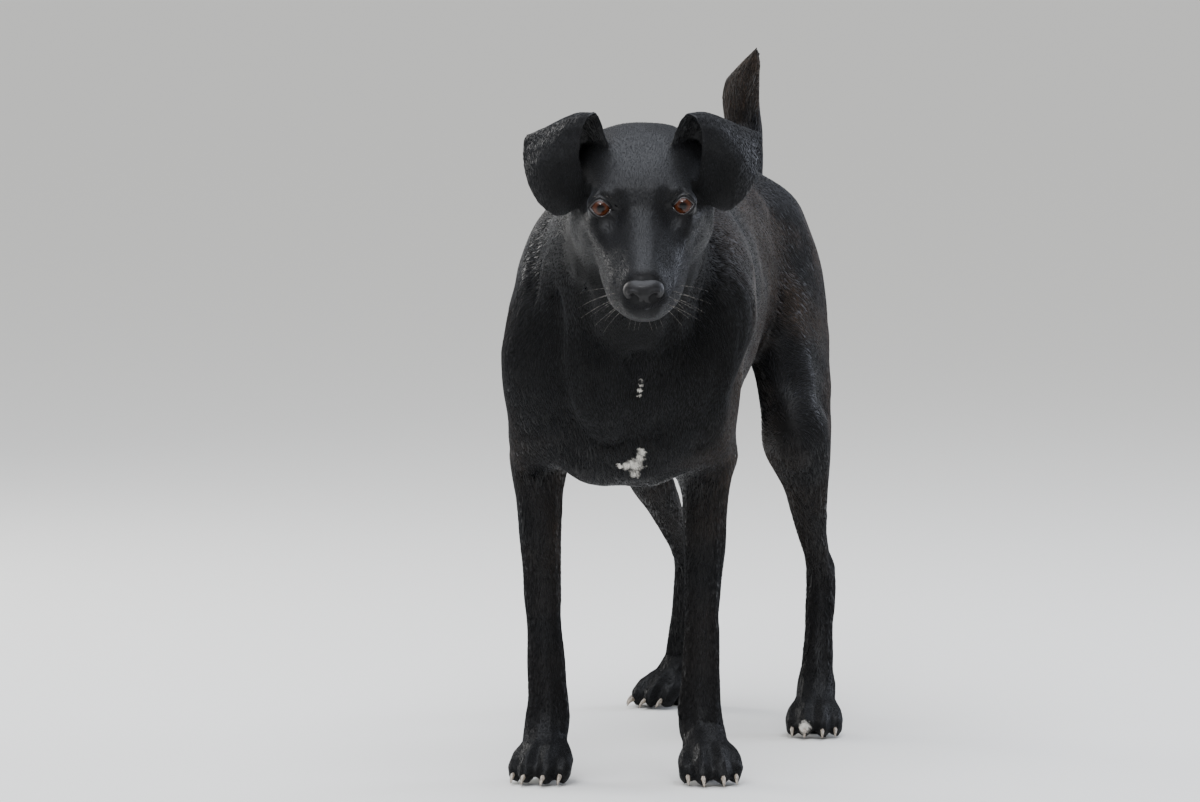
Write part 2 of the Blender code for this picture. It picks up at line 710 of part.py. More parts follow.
def claw(name, frame, root, heading=0.0, size=1.0):
    """A short horn, round in section, bent down from its root."""
    place_at = frame @ Matrix.Translation(Vector(root) * MM) @ Matrix.Rotation(heading, 4, "Z")
    around = 6
    points = []
    for y, z, radius in CLAW:
        for step in range(around):
            a = 2 * math.pi * step / around
            spot = Vector((radius * 0.8 * math.cos(a), y, z + radius * math.sin(a))) * MM * size
            points.append(place_at @ spot)
    faces = [tuple(range(around - 1, -1, -1)), tuple(range(3 * around, 4 * around))]
    for ring in range(3):
        for step in range(around):
            a, b = ring * around + step, ring * around + (step + 1) % around
            faces.append((a, b, b + around, a + around))
    made = mesh_object(name, points, faces)
    outward(made)
    return made


# ---------------------------------------------------------------- finishing
COATS = {"claw": (0.60, 0.52, 0.44), "eye": (0.20, 0.07, 0.02), "nose": (0.02, 0.02, 0.022)}


def finish(obj, number):
    colour = (0.030 + 0.002 * (number % 5), 0.030 + 0.001 * (number % 3), 0.036)
    rough = 0.45
    for kind, tone in COATS.items():
        if obj.name.startswith(kind):
            colour, rough = tone, 0.25
    material = bpy.data.materials.new(obj.name)
    material.use_nodes = True
    shader = material.node_tree.nodes["Principled BSDF"]
    shader.inputs["Base Color"].default_value = (*colour, 1)
    shader.inputs["Roughness"].default_value = rough
    obj.data.materials.clear()
    obj.data.materials.append(material)
    for face in obj.data.polygons:
        face.use_smooth = not obj.name.startswith("claw")


def main():
    for obj in list(bpy.data.objects):
        bpy.data.objects.remove(obj)
    clay = lay_up_dog()
    body = drawn_skin(clay)
    body.vertex_groups.clear()
    floor = floor_block()
    combined(body, floor, "DIFFERENCE", crossed=True)
    drop(floor)

    head = parted(body, (0.036, -0.128, 0.542), (0.20, -0.88, 0.42), "head")
    neck = parted(body, (0.012, -0.060, 0.490), (0.15, -0.80, 0.58), "neck")
    tail = parted(body, (0.009, 0.548, 0.512), (-0.05, 0.82, 0.57), "tail")
    legs = parted(body, (0, 0, 0.262), (0, 0, -1), "legs")
    chest = parted(body, (0, 0.160, 0), (0, -1, 0), "chest")
    hindquarters = parted(body, (0, 0.312, 0), (0, 1, 0), "hindquarters")
    body.name = "barrel"
    parts = [head, neck, chest, body, hindquarters, tail]

    paws = {}
    for leg in loose_parts(legs):
        middle = positions(leg).mean(0)
        front = "front" if middle[1] < 0.22 else "hind"
        name = front + ("_left" if middle[0] > 0.02 else "_right")
        paw = parted(leg, (0, 0, 0.050), (0, 0, -1), "paw_" + name)
        joint = 0.108 if front == "front" else 0.135
        shank = parted(leg, (0, 0, joint), (0, 0, -1), "pastern_" + name)
        leg.name = ("forearm_" if front == "front" else "gaskin_") + name.split("_")[1]
        paws[name] = paw
        parts += [leg, shank, paw]
    drop(legs)

    for side, word in ((1, "left"), (-1, "right")):
        flap = trimmed(ear("ear_" + word, side), head)
        parts.append(flap)
    for side, word in ((1, "left"), (-1, "right")):
        centre = (side * EYE_SPACING / 2 / MM, 0, EYE_RISE / MM)
        socket = oval("socket", HEAD, centre, (EYE_RADIUS / MM + 0.4,) * 3, 14, 8)
        combined(head, socket, "DIFFERENCE")
        drop(socket)
        parts.append(oval("eye_" + word, HEAD, centre, (EYE_RADIUS / MM,) * 3))
    nose = copied(head, "nose")
    pad = oval("pad", HEAD, (0, -98, -32), (19, 15, 16), 14, 8)
    combined(nose, pad, "INTERSECT")
    drop(pad)
    pad = oval("pad", HEAD, (0, -98, -32), (19.3, 15.3, 16.3), 14, 8)
    combined(head, pad, "DIFFERENCE")
    drop(pad)
    parts.append(nose)

    toes = (("outer", 22.5, -29), ("middle", 9.3, -41), ("inner", -9.3, -41), ("little", -22.5, -29))
    for name, paw in paws.items():
        leg = LEGS[name]
        size = 1.0 if name.startswith("front") else 0.93
        side = 1 if name.endswith("left") else -1
        frame = paw_frame(leg["paw"], leg["toe_out"])
        for toe, x, y in toes:
            made = claw(f"claw_{name}_{toe}", frame, (side * x * size, y * size, 9.5), size=size)
            parts.append(trimmed(made, paw))

    for part in parts:
        outward(part)
    spots = np.vstack([positions(part) for part in parts])
    low, high = spots.min(0), spots.max(0)
    shift = np.array([(low[0] + high[0]) / 2, (low[1] + high[1]) / 2, low[2]])
    for number, part in enumerate(parts):
        place(part, positions(part) - shift)
        finish(part, number)
    triangles = sum(len(part.data.polygons) for part in parts)
    print(len(parts), "parts of", triangles, "triangles, moved by", shift)


main()
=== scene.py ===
# %% [markdown]
# # A short-coated black dog, dressed for display
#
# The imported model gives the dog's solids: where every part is and how far it reaches. This
# lesson turns them into a living-looking animal. One skin replaces all the solids of flesh, its
# head is worked up like clay, a coat of short tufts is laid over it in the direction that a
# dog's hair lies, and the eyes, nose leather, claws and whiskers are made as pieces of their own.

import math

import bmesh
import bpy
import numpy as np
from mathutils import Matrix, Vector
from mathutils.bvhtree import BVHTree


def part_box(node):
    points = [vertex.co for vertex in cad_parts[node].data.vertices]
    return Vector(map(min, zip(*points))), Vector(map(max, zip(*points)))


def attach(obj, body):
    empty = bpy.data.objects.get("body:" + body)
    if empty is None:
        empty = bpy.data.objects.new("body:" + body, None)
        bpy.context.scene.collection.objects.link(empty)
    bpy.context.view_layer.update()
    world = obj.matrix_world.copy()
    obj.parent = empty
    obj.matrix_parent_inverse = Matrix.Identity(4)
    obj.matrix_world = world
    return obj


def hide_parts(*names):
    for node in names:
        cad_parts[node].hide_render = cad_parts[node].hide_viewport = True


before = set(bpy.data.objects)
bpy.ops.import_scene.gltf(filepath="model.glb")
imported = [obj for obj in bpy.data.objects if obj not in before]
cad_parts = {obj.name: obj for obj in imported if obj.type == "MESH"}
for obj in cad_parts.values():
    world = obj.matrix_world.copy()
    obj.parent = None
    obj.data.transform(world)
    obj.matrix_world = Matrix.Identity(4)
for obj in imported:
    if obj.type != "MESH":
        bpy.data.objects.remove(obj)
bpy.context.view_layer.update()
MM = 0.001
EYES = ["eye_left", "eye_right"]
CLAWS = sorted(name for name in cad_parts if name.startswith("claw_"))
FLESH = sorted(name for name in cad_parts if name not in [*EYES, "nose", *CLAWS])

# %% [markdown]
# Blender's operators act on whatever is selected, and the frame arrives selected all over. So
# every modelling step starts by choosing exactly one piece. Points are read and written as one
# array, because a skin of a hundred thousand points is too many to visit one at a time.


# %% Choosing one piece, and reading or writing all its points
def choose(piece):
    bpy.ops.object.select_all(action="DESELECT")
    piece.select_set(True)
    bpy.context.view_layer.objects.active = piece
    return piece


def points_of(piece, holder="vertices", field="co"):
    flat = np.empty(len(piece.data.vertices) * 3, np.float32)
    getattr(piece.data, holder).foreach_get(field, flat)
    return flat.reshape(-1, 3).astype(float)


def normals_of(piece):
    return points_of(piece, "vertex_normals", "vector")


def move_points(piece, points):
    piece.data.vertices.foreach_set("co", points.astype(np.float32).ravel())
    piece.data.update()


def with_modifier(piece, kind, **settings):
    """Adds a modifier with these settings and applies it at once."""
    choose(piece)
    modifier = piece.modifiers.new(kind.title(), kind)
    for name, value in settings.items():
        setattr(modifier, name, value)
    bpy.ops.object.modifier_apply(modifier=modifier.name)
    return piece


def triangle_count(piece):
    return sum(len(face.vertices) - 2 for face in piece.data.polygons)


def triangles_of(piece):
    flat = np.empty(len(piece.data.polygons) * 3, np.int32)
    piece.data.polygons.foreach_get("vertices", flat)
    return flat.reshape(-1, 3)


def tree_of(piece):
    return BVHTree.FromObject(piece, bpy.context.evaluated_depsgraph_get())


def nearest(tree, points):
    """The nearest places on a tree's mesh, the way out of it there, and its faces there."""
    spots, ways, faces, _ = zip(*[tree.find_nearest(Vector(point)) for point in points])
    return np.array(spots), np.array(ways), np.array(faces)


def edit_whole(piece, *steps):
    """Takes each step in edit mode, with all of one piece's mesh selected."""
    choose(piece)
    bpy.ops.object.mode_set(mode="EDIT")
    bpy.ops.mesh.select_all(action="SELECT")
    for step in steps:
        step()
    bpy.ops.object.mode_set(mode="OBJECT")


def copy_of(name):
    """A free copy of one of the frame's nodes."""
    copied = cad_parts[name].copy()
    copied.data = copied.data.copy()
    copied.parent = None
    for key in list(copied.keys()):
        del copied[key]
    bpy.context.scene.collection.objects.link(copied)
    return copied


def joined(pieces, name):
    choose(pieces[0])
    for piece in pieces:
        piece.select_set(True)
    bpy.ops.object.join()
    bpy.context.object.name = name
    return bpy.context.object


def on_side(line, side):
    """A line of points, or its mirror image where side is -1."""
    return [(side * x, y, z) for x, y, z in line]


def one_long(way):
    return way / np.linalg.norm(way)


# %% [markdown]
# The head turns to the dog's left and its muzzle points down, so its features are placed in a
# frame of its own: x to the dog's left, y back along the muzzle, z up, from a point just under
# midway between the eyeballs. Millimetres keep the numbers readable.

# %% The head's own frame
HEAD_YAW = math.radians(11)
HEAD_PITCH = math.radians(26)
HEAD_ROLL = math.radians(2)
EYE_RISE = 3.0  # of the eyeballs' centres above this frame's origin


def middle_of(node):
    low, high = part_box(node)
    return (low + high) / 2


HEAD = (
    Matrix.Translation((middle_of("eye_left") + middle_of("eye_right")) / 2)
    @ Matrix.Rotation(HEAD_YAW, 4, "Z")
    @ Matrix.Rotation(HEAD_PITCH, 4, "X")
    @ Matrix.Rotation(-HEAD_ROLL, 4, "Y")
    @ Matrix.Translation((0, 0, -EYE_RISE * MM))
)
HEAD_TURN = np.array(HEAD.to_3x3())
HEAD_SPOT = np.array(HEAD.translation)


def in_head(points):
    """Points of the row frame as millimetres of the head's frame."""
    return (points - HEAD_SPOT) @ HEAD_TURN / MM


def from_head(points):
    return np.asarray(points, float) * MM @ HEAD_TURN.T + HEAD_SPOT


print("origin of the head's frame:", [round(x, 4) for x in HEAD_SPOT])

# %% [markdown]
# ## Camera, floor and light
#
# A long lens far away flattens the dog the way a field photographer's does. The floor is one
# plain pale sheet that runs past the horizon. The light is a big overhead bank, with a panel and
# a small eye light in front, which the wet eyes and the nose reflect, two strips behind that edge
# the black coat, and a wide soft sun that stands for open sky.

# %% The camera looks slightly down from a person's waist height
CAMERA_SPOT = (1.2547, -6.8224, 0.967)
CAMERA_DIP = math.radians(5.14)
CAMERA_TURN = math.radians(11)
bpy.ops.object.camera_add(location=CAMERA_SPOT)
camera = bpy.context.object
camera.name = "camera"
camera.rotation_euler = (math.radians(90) - CAMERA_DIP, 0, CAMERA_TURN)
camera.data.lens = 220.5
camera.data.sensor_width = 36
camera.data.clip_end = 200
bpy.context.scene.camera = camera


# %% One function for colours and one for shader nodes
def colour(code):
    """An sRGB hex colour as the linear values that Blender wants."""
    parts = [int(code[i : i + 2], 16) / 255 for i in (1, 3, 5)]
    linear = [c / 12.92 if c <= 0.04045 else ((c + 0.055) / 1.055) ** 2.4 for c in parts]
    return (*linear, 1)


def plug(material, target, **inputs):
    """Gives a node's inputs plain values or hex colours, or links other nodes' outputs to them.

    An input is named by its label with _ for a space, or by its number as in0, in1."""
    for name, value in inputs.items():
        place = int(name[2:]) if name[:2] == "in" and name[2:].isdigit() else name.replace("_", " ")
        if isinstance(value, bpy.types.NodeSocket):
            material.node_tree.links.new(value, target.inputs[place])
        else:
            target.inputs[place].default_value = colour(value) if isinstance(value, str) else value


def node(material, kind, fields=None, out=0, **inputs):
    """Adds one shader node with its inputs, and gives back one of its outputs.

    fields are the node's own settings, or just the name of its operation."""
    made = material.node_tree.nodes.new("ShaderNode" + kind)
    fields = {"operation": fields} if isinstance(fields, str) else fields or {}
    for name, value in fields.items():
        setattr(made, name, value)
    plug(material, made, **inputs)
    return made.outputs[out]


def ramp(material, factor, *stops):
    """A colour ramp from (place, hex colour) stops."""
    made = node(material, "ValToRGB", Fac=factor)
    elements = made.node.color_ramp.elements
    while len(elements) < len(stops):
        elements.new(0.5)
    for element, (place, code) in zip(elements, stops):
        element.position = place
        element.color = colour(code)
    return made


def eased(material, value, low, high, start=0.0, end=1.0):
    """start where a value is at low, end where it is at high, with a soft change between."""
    return node(material, "MapRange", {"interpolation_type": "SMOOTHSTEP"}, Value=value,
                From_Min=low, From_Max=high, To_Min=start, To_Max=end)


def finish(material, **inputs):
    """Sets or links inputs of the material's own shader."""
    plug(material, material.node_tree.nodes["Principled BSDF"], **inputs)


def new_material(name, **settings):
    """A material whose own shader has these settings."""
    material = bpy.data.materials.new(name)
    material.use_nodes = True
    finish(material, **settings)
    return material


# %% A pale floor
bpy.ops.object.select_all(action="DESELECT")
bpy.ops.mesh.primitive_plane_add(size=120, location=(0, 0, 0))
floor = bpy.context.object
floor.name = "floor"
# Matt emulsion, rolled on a smooth board: a tone that drifts only over metres, with no shine.
floor_paint = new_material("matt_studio_floor_paint", Roughness=0.85)
clouds = node(floor_paint, "TexNoise", Scale=0.6, Detail=3.0)
finish(floor_paint, Base_Color=ramp(floor_paint, clouds, (0.3, "#dfdeda"), (0.7, "#e8e7e3")))
floor.data.materials.append(floor_paint)


# %% Soft light
def softbox(name, spot, aim, width, height, watts, tint):
    """An oblong lamp at a spot, turned to what it is aimed at."""
    bpy.ops.object.light_add(type="AREA", location=spot)
    lamp = bpy.context.object
    lamp.name = name
    lamp.data.shape = "RECTANGLE"
    lamp.data.size = width
    lamp.data.size_y = height
    lamp.data.energy = watts
    lamp.data.color = colour(tint)[:3]
    lamp.rotation_euler = (Vector(aim) - Vector(spot)).to_track_quat("-Z", "Y").to_euler()


softbox("overhead_bank", (0.0, -0.3, 2.6), (0.0, 0.0, 0.3), 2.6, 3.2, 105, "#eaf0fc")
softbox("front_panel", (-0.2, -3.1, 3.0), (0.04, -0.4, 0.5), 1.9, 0.6, 34, "#f2f6ff")
softbox("eye_light", (0.1, -3.2, 2.75), (0.04, -0.42, 0.55), 0.6, 0.45, 28, "#fbfcff")
softbox("back_left_edge", (2.0, 1.6, 1.3), (0, 0, 0.4), 0.9, 1.6, 34, "#e6edff")
softbox("back_right_edge", (-2.0, 1.2, 1.3), (0, -0.1, 0.4), 0.9, 1.6, 34, "#f6f4f0")
bpy.ops.object.light_add(type="SUN", rotation=(math.radians(18), math.radians(-8), 0))
sky = bpy.context.object
sky.name = "wide_soft_sky"
sky.data.energy = 1.6
sky.data.angle = math.radians(80)
world = bpy.data.worlds.new("studio")
world.use_nodes = True
plug(world, world.node_tree.nodes["Background"], Color="#e9ebee", Strength=0.55)
bpy.context.scene.world = world

# %% [markdown]
# ## One skin over all the parts
#
# The solids are parted by thin cuts, which a museum model wouldn't show. Copies of them are
# swollen by 0.4 mm, so that they overlap, and wrapped by a voxel remesh into one skin. The eyes
# and nose are wrapped in too, so that no hollow is left where their own pieces will sit. The
# trunk has no small forms, so it is smoothed hardest, which melts the flat facets of the solids
# into muscle. All this is done on the even mesh, and only then is the skin thinned, because
# smoothing pulls a thinned mesh out of shape. The head and paws keep their fine mesh.

# %% Copies of the flesh, joined and remeshed
SKIN_CELL = 0.0017
SWELL = 0.0004  # makes the parts overlap across their cuts of 0.3 mm
SAME_SPOT = 0.00002  # points nearer than this are merged
skin = joined([copy_of(name) for name in [*FLESH, *EYES, "nose"]], "skin")
skin.data.materials.clear()
edit_whole(skin, lambda: bpy.ops.mesh.remove_doubles(threshold=SAME_SPOT))
with_modifier(skin, "DISPLACE", strength=SWELL, mid_level=0.0)
with_modifier(skin, "REMESH", mode="VOXEL", voxel_size=SKIN_CELL)
print("wrapped skin:", triangle_count(skin), "triangles")


# %% Only the outer skin is kept, not what the remesh left inside the cuts
def keep_largest(piece):
    edit_whole(piece, lambda: bpy.ops.mesh.separate(type="LOOSE"))
    parts = [part for part in bpy.context.selected_objects if part.type == "MESH"]
    largest = max(parts, key=lambda part: len(part.data.vertices))
    for part in parts:
        if part is not largest:
            bpy.data.objects.remove(part)
    return choose(largest), len(parts) - 1


skin, inner_bits = keep_largest(skin)
skin.name = "skin"
print("bits left out from inside the cuts:", inner_bits)


# %% Head, paws and trunk, as shares from 0 to 1
def smooth_step(values, low, high):
    """0 up to low, 1 from high on, with a soft change between."""
    t = np.clip((values - low) / (high - low), 0, 1)
    return t * t * (3 - 2 * t)


def group(piece, name, weights):
    """A vertex group; the weights are written in eight steps, which is quick and fine enough."""
    made = piece.vertex_groups.new(name=name)
    steps = np.round(weights * 8).astype(int)
    for step in range(1, 9):
        members = np.nonzero(steps == step)[0]
        if len(members):
            made.add(members.tolist(), step / 8, "REPLACE")


NECK_SLANT = 0.35  # the end of the head leans back by this much for each millimetre up
NECK_START, NECK_FULL = 74, 104  # millimetres back in the head's frame
PAW_TOP, LEG_FULL = 0.046, 0.085  # metres over the floor


def headness(points):
    """1 on the head and ears, 0 on the trunk, with a soft change over the first of the neck."""
    local = in_head(points)
    return 1 - smooth_step(local[:, 1] - NECK_SLANT * local[:, 2], NECK_START, NECK_FULL)


def pawness(points):
    return 1 - smooth_step(points[:, 2], PAW_TOP, LEG_FULL)


# %% Smoothing, hardest where the forms are largest
def ears_and_tips(points):
    """1 on the thin ears and at the tail's tip, which hard smoothing would eat away."""
    local = in_head(points)
    off_side = smooth_step(np.abs(local[:, 0]), 46, 54) * headness(points)
    ears = off_side * smooth_step(local[:, 2], -24, -16) * (1 - smooth_step(local[:, 1], 92, 100))
    tip = smooth_step(points[:, 2], 0.615, 0.635) * (points[:, 1] > 0.3)
    return np.maximum(ears, tip)


spots = points_of(skin)
head_share, paw_share = headness(spots), pawness(spots)
leg_share = 1 - smooth_step(spots[:, 2], 0.22, 0.35)
tail_share = smooth_step(spots[:, 1], 0.360, 0.385) * smooth_step(spots[:, 2], 0.47, 0.50)
core = (1 - ears_and_tips(spots)) * (1 - paw_share)
group(skin, "core", core)
group(skin, "trunk", core * (1 - head_share) * (1 - leg_share) * (1 - tail_share))
for where, rounds in (("", 4), ("core", 16), ("trunk", 150)):
    with_modifier(skin, "SMOOTH", factor=0.5, iterations=rounds, vertex_group=where)
print("smoothed skin:", [round(x, 4) for x in skin.dimensions])

# %% Thinning, first a little everywhere, then hard on all but the head and paws
EVEN_SHARE = 0.36  # of the triangles, kept by the first pass
SKIN_BUDGET = 119000  # triangles after the second
even_tree = tree_of(skin)
with_modifier(skin, "DECIMATE", ratio=EVEN_SHARE, use_collapse_triangulate=True)
spots = points_of(skin)
group(skin, "fine", np.maximum(headness(spots), pawness(spots)))
with_modifier(
    skin, "DECIMATE", ratio=SKIN_BUDGET / triangle_count(skin), vertex_group="fine",
    invert_vertex_group=True, vertex_group_factor=1.0, use_collapse_triangulate=True,
)
print("thinned skin:", triangle_count(skin), "triangles")

# %% [markdown]
# Thinning leaves facets of several centimetres where the skin is smooth, and tufts laid on a flat
# facet would part at its edges. So long edges are split again, and every point goes back to the
# even mesh from before the thinning, which is round there.

# %% Splitting long edges and rounding them again
LONGEST_EDGE = 0.0095
for _ in range(2):
    mesh = bmesh.new()
    mesh.from_mesh(skin.data)
    long_edges = [edge for edge in mesh.edges if edge.calc_length() > LONGEST_EDGE]
    bmesh.ops.subdivide_edges(mesh, edges=long_edges, cuts=1)
    bmesh.ops.triangulate(mesh, faces=[face for face in mesh.faces if len(face.verts) > 3])
    mesh.to_mesh(skin.data)
    mesh.free()
    move_points(skin, nearest(even_tree, points_of(skin))[0])
with_modifier(skin, "SMOOTH", factor=0.5, iterations=3, vertex_group="trunk")
print("rounded skin:", triangle_count(skin), "triangles, long edges left:", len(long_edges))


# %% Averages over neighbours
def neighbour_mean(piece, values, rounds):
    """Each point's value averaged with its neighbours', some rounds over."""
    flat = np.empty(len(piece.data.edges) * 2, np.int32)
    piece.data.edges.foreach_get("vertices", flat)
    start, end = flat.reshape(-1, 2).T
    count = len(values)
    valence = np.bincount(start, minlength=count) + np.bincount(end, minlength=count)
    for _ in range(rounds):
        total = np.bincount(start, values[end], count) + np.bincount(end, values[start], count)
        values = 0.5 * values + 0.5 * total / np.maximum(valence, 1)
    return values


# %% [markdown]
# ## Working up the head
#
# A stroke raises or presses the skin along its normals, under a line of points, with a soft
# edge: it is the brush of a sculpting program, written down. The lids need smaller facets
# than the rest of the skin, so the faces round each eye are subdivided first.


# %% The stroke
def falloff(distance, width):
    """1 at the middle of a stroke, 0 from its width outwards."""
    near = np.clip(1 - (distance / width) ** 2, 0, 1)
    return near * near


def distance_to_line(points, line):
    """From each point to the nearest place on a line of points, or to a single point."""
    line = np.asarray(line, float)
    if len(line) == 1:
        return np.linalg.norm(points - line[0], axis=1)
    best = np.full(len(points), np.inf)
    for start, end in zip(line, line[1:]):
        span = end - start
        t = np.clip((points - start) @ span / (span @ span), 0, 1)
        best = np.minimum(best, np.linalg.norm(points - start - t[:, None] * span, axis=1))
    return best


def stroke(local, normals, line, width, height, both=True):
    """How far the points move for one stroke, in the units of local. x is mirrored for both."""
    moved = np.zeros(len(local))
    for side in (1, -1) if both else (1,):
        moved = np.maximum(moved, falloff(distance_to_line(local, on_side(line, side)), width))
    return normals * (moved * height)[:, None]


# %% Finer facets round the eyes
EYE_RADIUS = 10.8
EYE_SPOT = (36.5, 0.5, EYE_RISE)
LID_WAY = (0.10, -0.93, 0.30)  # the way the left eye's lids open


def eye_axes(side):
    """Centre of one eyeball, the way its lids open, towards its outer corner, and up."""
    centre, ahead = np.array(on_side([EYE_SPOT, LID_WAY], side))
    ahead = one_long(ahead)
    outward = one_long(np.array((side, 0, 0)) - side * ahead[0] * ahead)
    up = np.cross(outward, ahead) * side
    return centre, ahead, outward, -up if up[2] < 0 else up


def refine(piece, chosen):
    """Subdivides the faces whose points are all chosen."""
    choose(piece)
    bpy.ops.object.mode_set(mode="EDIT")
    bpy.ops.mesh.select_mode(type="VERT")
    bpy.ops.mesh.select_all(action="DESELECT")
    bpy.ops.object.mode_set(mode="OBJECT")
    piece.data.vertices.foreach_set("select", chosen)
    piece.data.polygons.foreach_set("select", chosen[triangles_of(piece)].all(1))
    bpy.ops.object.mode_set(mode="EDIT")
    bpy.ops.mesh.subdivide(number_cuts=1)
    bpy.ops.mesh.select_all(action="SELECT")
    bpy.ops.mesh.quads_convert_to_tris()
    bpy.ops.object.mode_set(mode="OBJECT")


for reach in (17.5, 14.5):  # millimetres from an eyeball's centre
    local = in_head(points_of(skin))
    chosen = np.zeros(len(local), bool)
    for side in (1, -1):
        centre, ahead, _, _ = eye_axes(side)
        off = local - centre
        chosen |= (np.linalg.norm(off, axis=1) < reach) & (off @ ahead > 1.0)
    refine(skin, chosen)
print("skin with fine facets at the eyes:", triangle_count(skin), "triangles")

# %% [markdown]
# A dog's face is built of a few planes: the stop between forehead and muzzle, soft hollows at
# the inner brow, a ridge under each eye, whisker pads, and lips that hang over the mouth line.
# Each stroke below is one of them, so the list can be read like a sculptor's notes.

# %% Strokes on the head, in millimetres: line, width, height
HEAD_STROKES = {
    "hollow at the inner brow": ([(22, -6, 13), (24, -14, -4)], 13, -1.9),
    "brow ridge": ([(30, -6, 17), (39, -5, 15), (47, 2, 9)], 9, 1.1),
    "furrow of the forehead": ([(0, -12, 8), (0, 12, 27), (0, 40, 34)], 14, -0.9),
    "crease across the crown": ([(4, 44, 35), (14, 38, 33), (24, 24, 27)], 4.5, -0.5),
    "upper crease of the crown": ([(0, 60, 35), (9, 58, 35), (18, 50, 34)], 4, -0.5),
    "hollow under the eye": ([(28, -22, -9), (27, -38, -20)], 14, -1.1),
    "ridge under the eye": ([(38, -14, -12), (46, 4, -14), (50, 26, -13)], 10, 0.9),
    "hollow behind the eye": ([(47, 24, 6), (47, 36, 8)], 12, -1.2),
    "hollow of the cheek": ([(42, 2, -30), (37, -18, -35)], 16, -1.2),
    "bridge of the muzzle": ([(0, -30, -8), (0, -60, -15), (0, -80, -20)], 14, 0.6),
    "whisker pad": ([(20, -82, -42), (23, -68, -40)], 14, 1.0),
    "upper lip": ([(12, -92, -50), (25, -72, -52), (33, -46, -52), (39, -18, -49)], 8, 0.8),
    "mouth line": ([(0, -96, -56), (11, -93, -57), (20, -84, -59), (28, -66, -60), (36, -42, -59),
                    (41, -16, -55)], 3.6, -1.6),
}
HEAD_END = 110
skin_tree = tree_of(skin)
spots, normals = points_of(skin), normals_of(skin)
local = in_head(spots)
face = local[:, 1] < HEAD_END
for line, width, height in HEAD_STROKES.values():
    line = in_head(nearest(skin_tree, from_head(line))[0])
    spots[face] += stroke(local[face], normals[face], line, width, height * MM)
move_points(skin, spots)
print("head strokes:", len(HEAD_STROKES))

# %% [markdown]
# The lids are the edge of an almond drawn on the eyeball. In degrees from the way the eye opens,
# its inner corner lies lower than its outer one. Skin inside the almond drops behind the eyeball,
# skin at its edge rests on the ball, and further out it swells into the lid and meets the face.

# %% The almond between the lids
INNER_CORNER = (-60.0, -13.0)
OUTER_CORNER = (55.0, 5.0)
UPPER_ARCH = 46.0
LOWER_ARCH = -37.0
LID_GAP = 0.55  # millimetres from the eyeball to the inside of its lids
LID_THICKNESS = 1.5
LID_SPREAD = 7.5  # from the lids' edge to where the face takes over
SUNK = 1.9  # from the lids' inside down to the skin behind the eyeball


def lid_edge(share, arch):
    """Degrees outward and up, at a share of the way from the inner to the outer corner."""
    start, end = np.array(INNER_CORNER), np.array(OUTER_CORNER)
    across = start[0] + (end[0] - start[0]) * share
    level = start[1] + (end[1] - start[1]) * share
    return across, level + arch * np.sin(np.pi * share**0.92) ** 0.8


def outside_almond(across, up):
    """Millimetres outside the lids' edge, measured over the eyeball; inside is negative."""
    share = (across - INNER_CORNER[0]) / (OUTER_CORNER[0] - INNER_CORNER[0])
    inside = np.clip(share, 0.0, 1.0)
    _, top = lid_edge(inside, UPPER_ARCH)
    _, bottom = lid_edge(inside, LOWER_ARCH)
    vertical = np.maximum(up - top, bottom - up)
    beyond = np.maximum(np.maximum(-share, share - 1), 0) * (OUTER_CORNER[0] - INNER_CORNER[0])
    degrees = np.where(beyond > 0, np.hypot(beyond, np.maximum(vertical, 0)), vertical)
    return degrees * math.radians(1) * EYE_RADIUS


for side in (1, -1):
    spots = points_of(skin)
    local = in_head(spots)
    centre, ahead, outward, up = eye_axes(side)
    off = local - centre
    far = np.linalg.norm(off, axis=1)
    near = (far < EYE_RADIUS + 9) & (off @ ahead > -1.0)
    off, far = off[near], far[near]
    depth = np.maximum(off @ ahead, 0.5)
    gap = outside_almond(np.degrees(np.arctan2(off @ outward, depth)),
                         np.degrees(np.arctan2(off @ up, depth)))
    lid = EYE_RADIUS + LID_GAP + LID_THICKNESS * smooth_step(gap, 0.0, 1.8)
    fold = 0.6 * falloff(np.abs(gap - 3.8), 1.6)
    blend = smooth_step(gap, 1.2, LID_SPREAD)
    outer = lid * (1 - blend) + np.maximum(far, EYE_RADIUS + 1.2) * blend
    inner = EYE_RADIUS + LID_GAP - SUNK * smooth_step(-gap, 0.0, 0.9)
    reach = np.where(gap > 0, outer - fold, inner)
    spots[near] = from_head(centre + off / far[:, None] * reach[:, None])
    move_points(skin, spots)
print("lids drawn round both eyes")

# %% [markdown]
# ## Eyes
#
# A dog's eye is nearly all iris. The ball is a sphere whose pole is turned to the way it looks,
# and the cornea is a low dome on it. Colour is laid on in rings by the angle from that pole: a
# black pupil, amber fibres that darken outwards, a dark ring, then the brown-black white of
# the eye. A bump makes the iris a shallow dish under the clear, wet coat, so light from above
# gathers in its lower half, as it does in life.

# %% The way each eye looks
CORNEA_EDGE = math.radians(50)
CORNEA_RISE = 0.9
PUPIL_EDGE = math.radians(15)
RING_SPAN = 1.2  # radians from the pole, which the ramp of rings covers
GAZE = (0.02, -0.935, 0.35)  # the left eye's


def gaze_frame(side):
    """The eyeball's frame: z along its gaze, y up."""
    ahead = one_long(on_side([GAZE], side)[0])
    right = one_long(np.cross((0, 0, 1), ahead))
    turn = HEAD_TURN @ np.stack([right, np.cross(ahead, right), ahead], axis=1)
    made = Matrix(turn.tolist()).to_4x4()
    made.translation = Vector(from_head(eye_axes(side)[0]))
    return made


